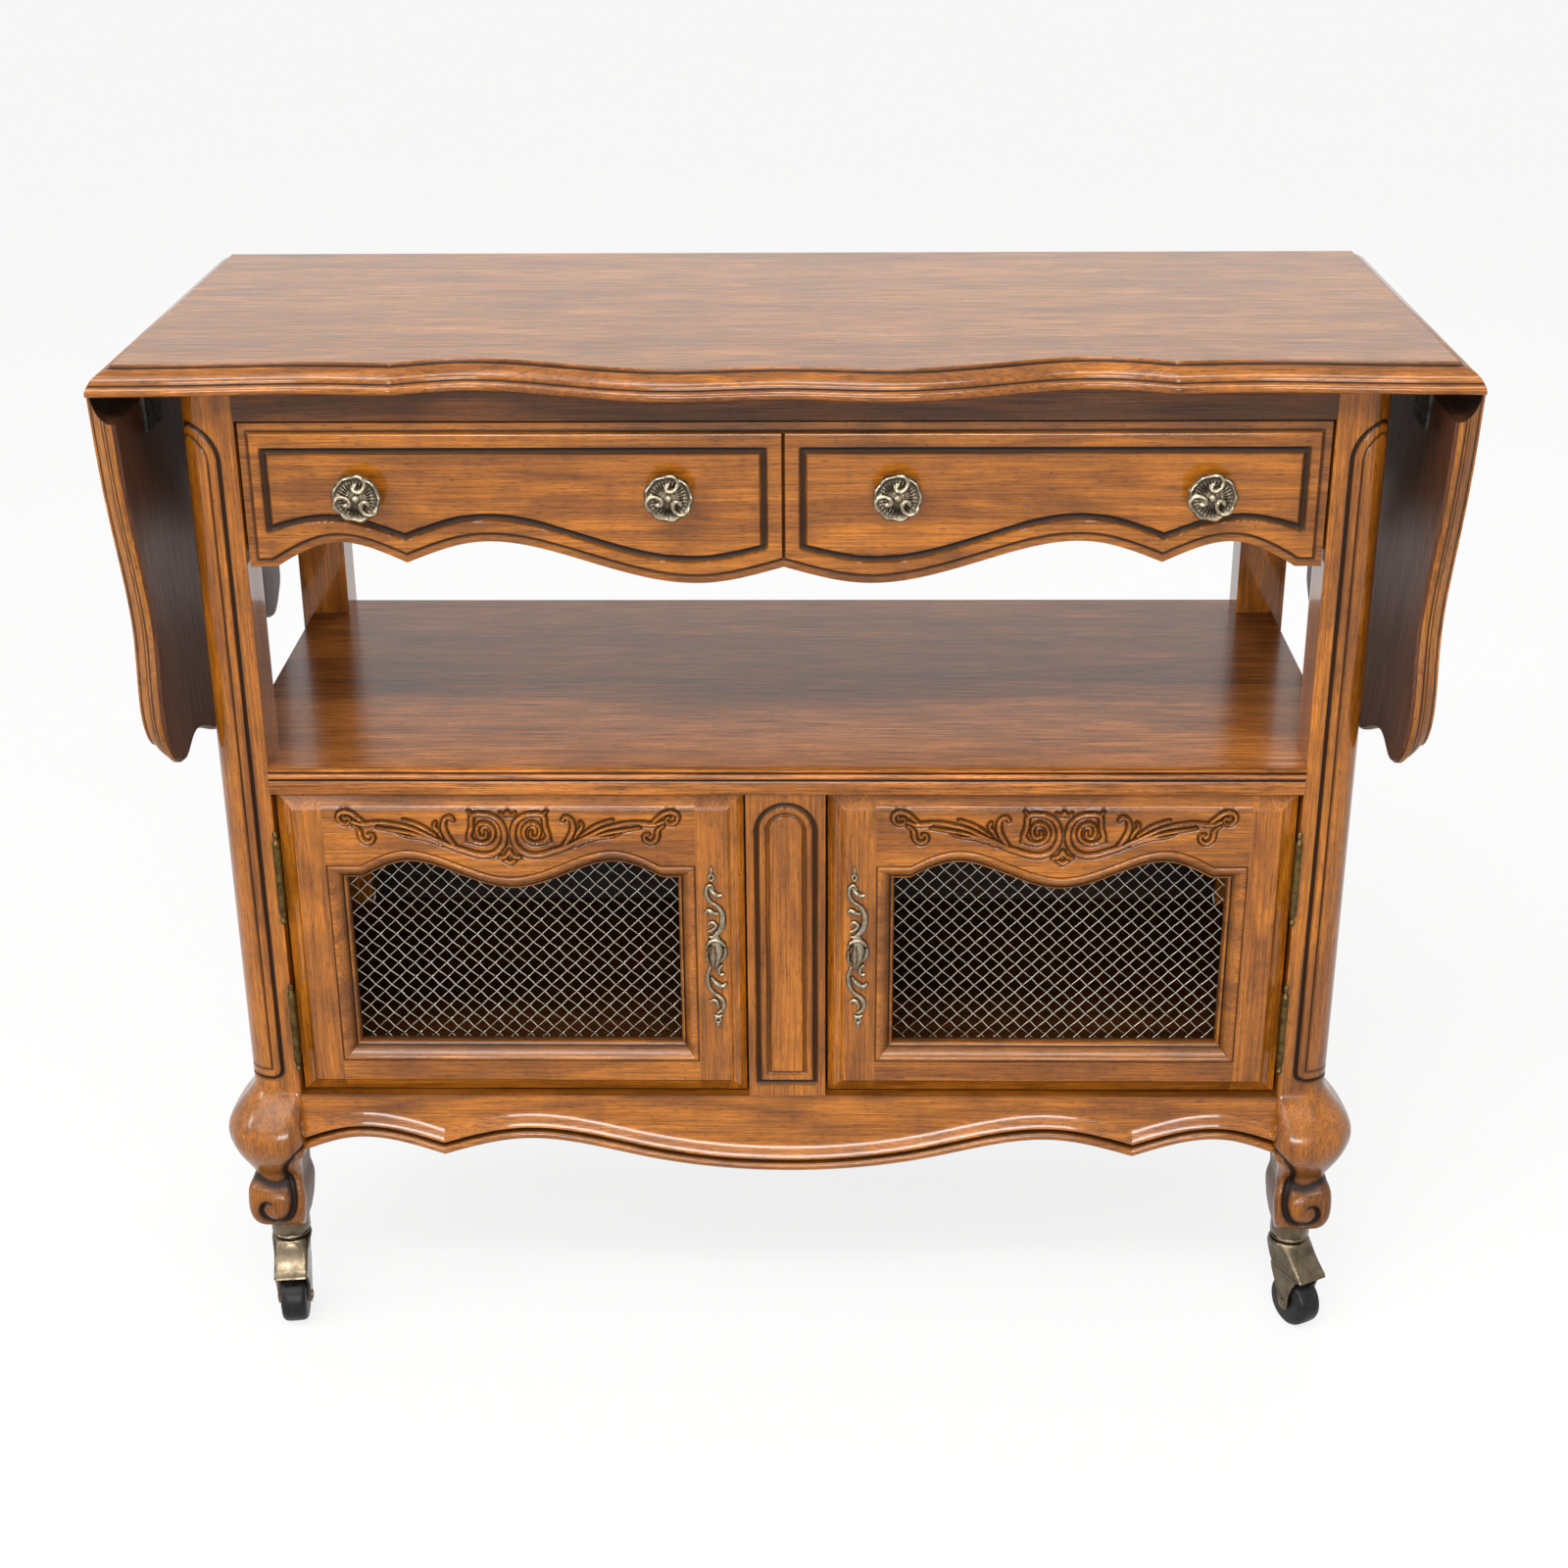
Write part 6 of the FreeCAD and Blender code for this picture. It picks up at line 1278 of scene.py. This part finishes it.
rivetLoops = turnedAbout(casterShape["rivet"], 20, False)
forkLoops = (hoodLoops(casterShape["hood"], 8), cheekLoops(casterShape, 1.0), cheekLoops(casterShape, -1.0),
             rivetLoops, rivetLoops * mirrorSide)
forkPoints, forkFaces = joined([loftSurface(loops) for loops in forkLoops])
collarPoints, collarFaces = loftSurface(turnedAbout(casterShape["collar"], 48, True))
tyrePoints, tyreFaces = loftSurface(turnedAbout(casterShape["tyre"], 56, False))
for corner in casterShape["turns"]:
    name = "".join(word.capitalize() for word in corner.split("_"))
    meshPiece("casterFork" + name, atCorner(forkPoints, corner), forkFaces, "castCasterBrass",
              "caster_" + corner, "antique_brass", ["caster_%s_fork" % corner], sharp=32.0)
    meshPiece("casterTyre" + name, atCorner(tyrePoints, corner), tyreFaces, "rubber", "wheel_" + corner,
              "caster_rubber", ["caster_%s_wheel" % corner])
collars = joined([(atCorner(collarPoints, corner), collarFaces) for corner in casterShape["turns"]])
meshPiece("casterCollars", *collars, "castCasterBrass", "carcass", "antique_brass", ["caster_ferrules"],
          sharp=50.0)
print("casters made")


# Studio: pale floor, soft sun from the upper left, four soft boxes, even surrounding light and the camera
studio = {
    "floorHalf": 60.0, "floor": "#F6F5F3", "floorPale": "#FBFAF9", "floorBounce": "#94908C",
    "floorLift": 0.8, "floorRoughness": 0.9, "ambient": 0.4, "lens": 55.26,
    "camera": (0.0321, -1.9293, 1.2966), "yaw": -1.0836, "pitch": 24.005, "roll": -0.3976,
    # even soft light from the upper left front: way it shines, strength, spread in degrees
    "sun": ((0.45, 0.62, -0.85), 1.1, 50.0),
    # soft boxes: place, point aimed at, width and height in metres, watts
    "boxes": {"stripBox": ((0.0, -1.5, 2.3), (0.0, -0.2, 0.6), (2.6, 0.4), 26.0),
              "windowBox": ((0.0, -3.0, 0.9), (0.0, -0.2, 0.5), (1.8, 0.5), 44.0),
              "sideBox": ((-2.5, -0.9, 1.1), (0.0, -0.1, 0.4), (0.4, 0.8), 9.0),
              "backBox": ((0.5, 2.4, 2.9), (0.0, 0.2, 0.45), (1.6, 0.5), 20.0)}}


def makeFloor(half):
    # Flat square grid at floor level
    edge = np.linspace(-half, half, 9)
    gx, gy = np.meshgrid(edge, edge)
    points = np.stack((gx, gy, np.zeros_like(gx)), axis=-1).reshape(-1, 3)
    mesh = bpy.data.meshes.new("studioFloor")
    mesh.from_pydata(points.tolist(), [], gridFaces(9, 9).tolist())
    floor = bpy.data.objects.new("studioFloor", mesh)
    scene.collection.objects.link(floor)
    return floor


def raysSeen(tree):
    # One for rays from the camera, in reflections and through glass, nought for the rays that light things
    path = addNode(tree, "ShaderNodeLightPath").outputs
    seen = addNode(tree, "ShaderNodeMath", {0: path["Is Camera Ray"], 1: path["Is Glossy Ray"]},
                   operation="MAXIMUM").outputs[0]
    seen = addNode(tree, "ShaderNodeMath", {0: seen, 1: path["Is Transmission Ray"]},
                   operation="MAXIMUM").outputs[0]
    return path["Is Camera Ray"], seen


floor = makeFloor(studio["floorHalf"])
paper, paperTree, paperShader = newMaterial("paintedStudioFloor")  # matt board with a faint unevenness
paperSpot = addNode(paperTree, "ShaderNodeTexCoord").outputs["Object"]
paperNoise = addNode(paperTree, "ShaderNodeTexNoise", {"Vector": paperSpot, "Scale": 2.0,
                                                       "Detail": 2.0}).outputs[0]
paperTone = addNode(paperTree, "ShaderNodeMix", {0: paperNoise, 6: hexColour(studio["floor"]),
                                                 7: hexColour(studio["floorPale"])},
                    data_type="RGBA").outputs[2]
paperCamera, paperSeen = raysSeen(paperTree)
# white to the eye, greyer in the light that it throws back, so that undersides stay dark
paperTone = addNode(paperTree, "ShaderNodeMix", {0: paperCamera, 6: hexColour(studio["floorBounce"]),
                                                 7: paperTone}, data_type="RGBA").outputs[2]
paperTree.links.new(paperTone, paperShader.inputs["Base Color"])
paperShader.inputs["Roughness"].default_value = studio["floorRoughness"]
paperGlow = addNode(paperTree, "ShaderNodeEmission", {"Color": (1.0, 1.0, 1.0, 1.0), "Strength": 1.0})
paperLift = addNode(paperTree, "ShaderNodeMath", {0: paperSeen, 1: studio["floorLift"]},
                    operation="MULTIPLY").outputs[0]
paperMix = addNode(paperTree, "ShaderNodeMixShader", {0: paperLift, 1: paperShader.outputs[0],
                                                      2: paperGlow.outputs[0]})
paperTree.links.new(paperMix.outputs[0], paperTree.nodes["Material Output"].inputs["Surface"])
floor.data.materials.append(paper)

world = bpy.data.worlds.new("studioLight")
scene.world = world
world.use_nodes = True
sky = world.node_tree
skyShader = sky.nodes["Background"]
skySeen = raysSeen(sky)[1]
strength = addNode(sky, "ShaderNodeMapRange", {0: skySeen, 3: studio["ambient"], 4: 1.0}).outputs[0]
sky.links.new(strength, skyShader.inputs["Strength"])
skyShader.inputs["Color"].default_value = (1.0, 1.0, 1.0, 1.0)

sunWay, sunStrength, sunSpread = studio["sun"]
sunLamp = bpy.data.lights.new("softSun", "SUN")
sunLamp.energy = sunStrength
sunLamp.angle = math.radians(sunSpread)
softSun = bpy.data.objects.new("softSun", sunLamp)
softSun.matrix_world = Vector(sunWay).to_track_quat("-Z", "Y").to_matrix().to_4x4()
scene.collection.objects.link(softSun)
for boxName, (boxPlace, boxAim, boxSize, watts) in studio["boxes"].items():
    lamp = bpy.data.lights.new(boxName, "AREA")
    lamp.shape = "RECTANGLE"
    lamp.size, lamp.size_y = boxSize
    lamp.energy = watts
    softBox = bpy.data.objects.new(boxName, lamp)
    aim = Vector(boxAim) - Vector(boxPlace)
    softBox.matrix_world = Matrix.Translation(boxPlace) @ aim.to_track_quat("-Z", "Y").to_matrix().to_4x4()
    softBox.visible_camera = False
    scene.collection.objects.link(softBox)

yaw, pitch, roll = [math.radians(studio[name]) for name in ("yaw", "pitch", "roll")]
forward = np.array((math.sin(yaw) * math.cos(pitch), math.cos(yaw) * math.cos(pitch), -math.sin(pitch)))
level = np.array((math.cos(yaw), -math.sin(yaw), 0.0))
upright = np.cross(level, forward)
rightWay = level * math.cos(roll) + upright * math.sin(roll)
upWay = upright * math.cos(roll) - level * math.sin(roll)
lens = bpy.data.cameras.new("photoCamera")
lens.sensor_width = 36.0
lens.lens = studio["lens"]
lens.clip_end = 200.0
camera = bpy.data.objects.new("photoCamera", lens)
turnRows = np.eye(4)
turnRows[:3, 0] = rightWay
turnRows[:3, 1] = upWay
turnRows[:3, 2] = -forward
turnRows[:3, 3] = studio["camera"]
camera.matrix_world = Matrix(turnRows.tolist())
scene.collection.objects.link(camera)
scene.camera = camera
scene.view_settings.view_transform = "Standard"
print("studio set")
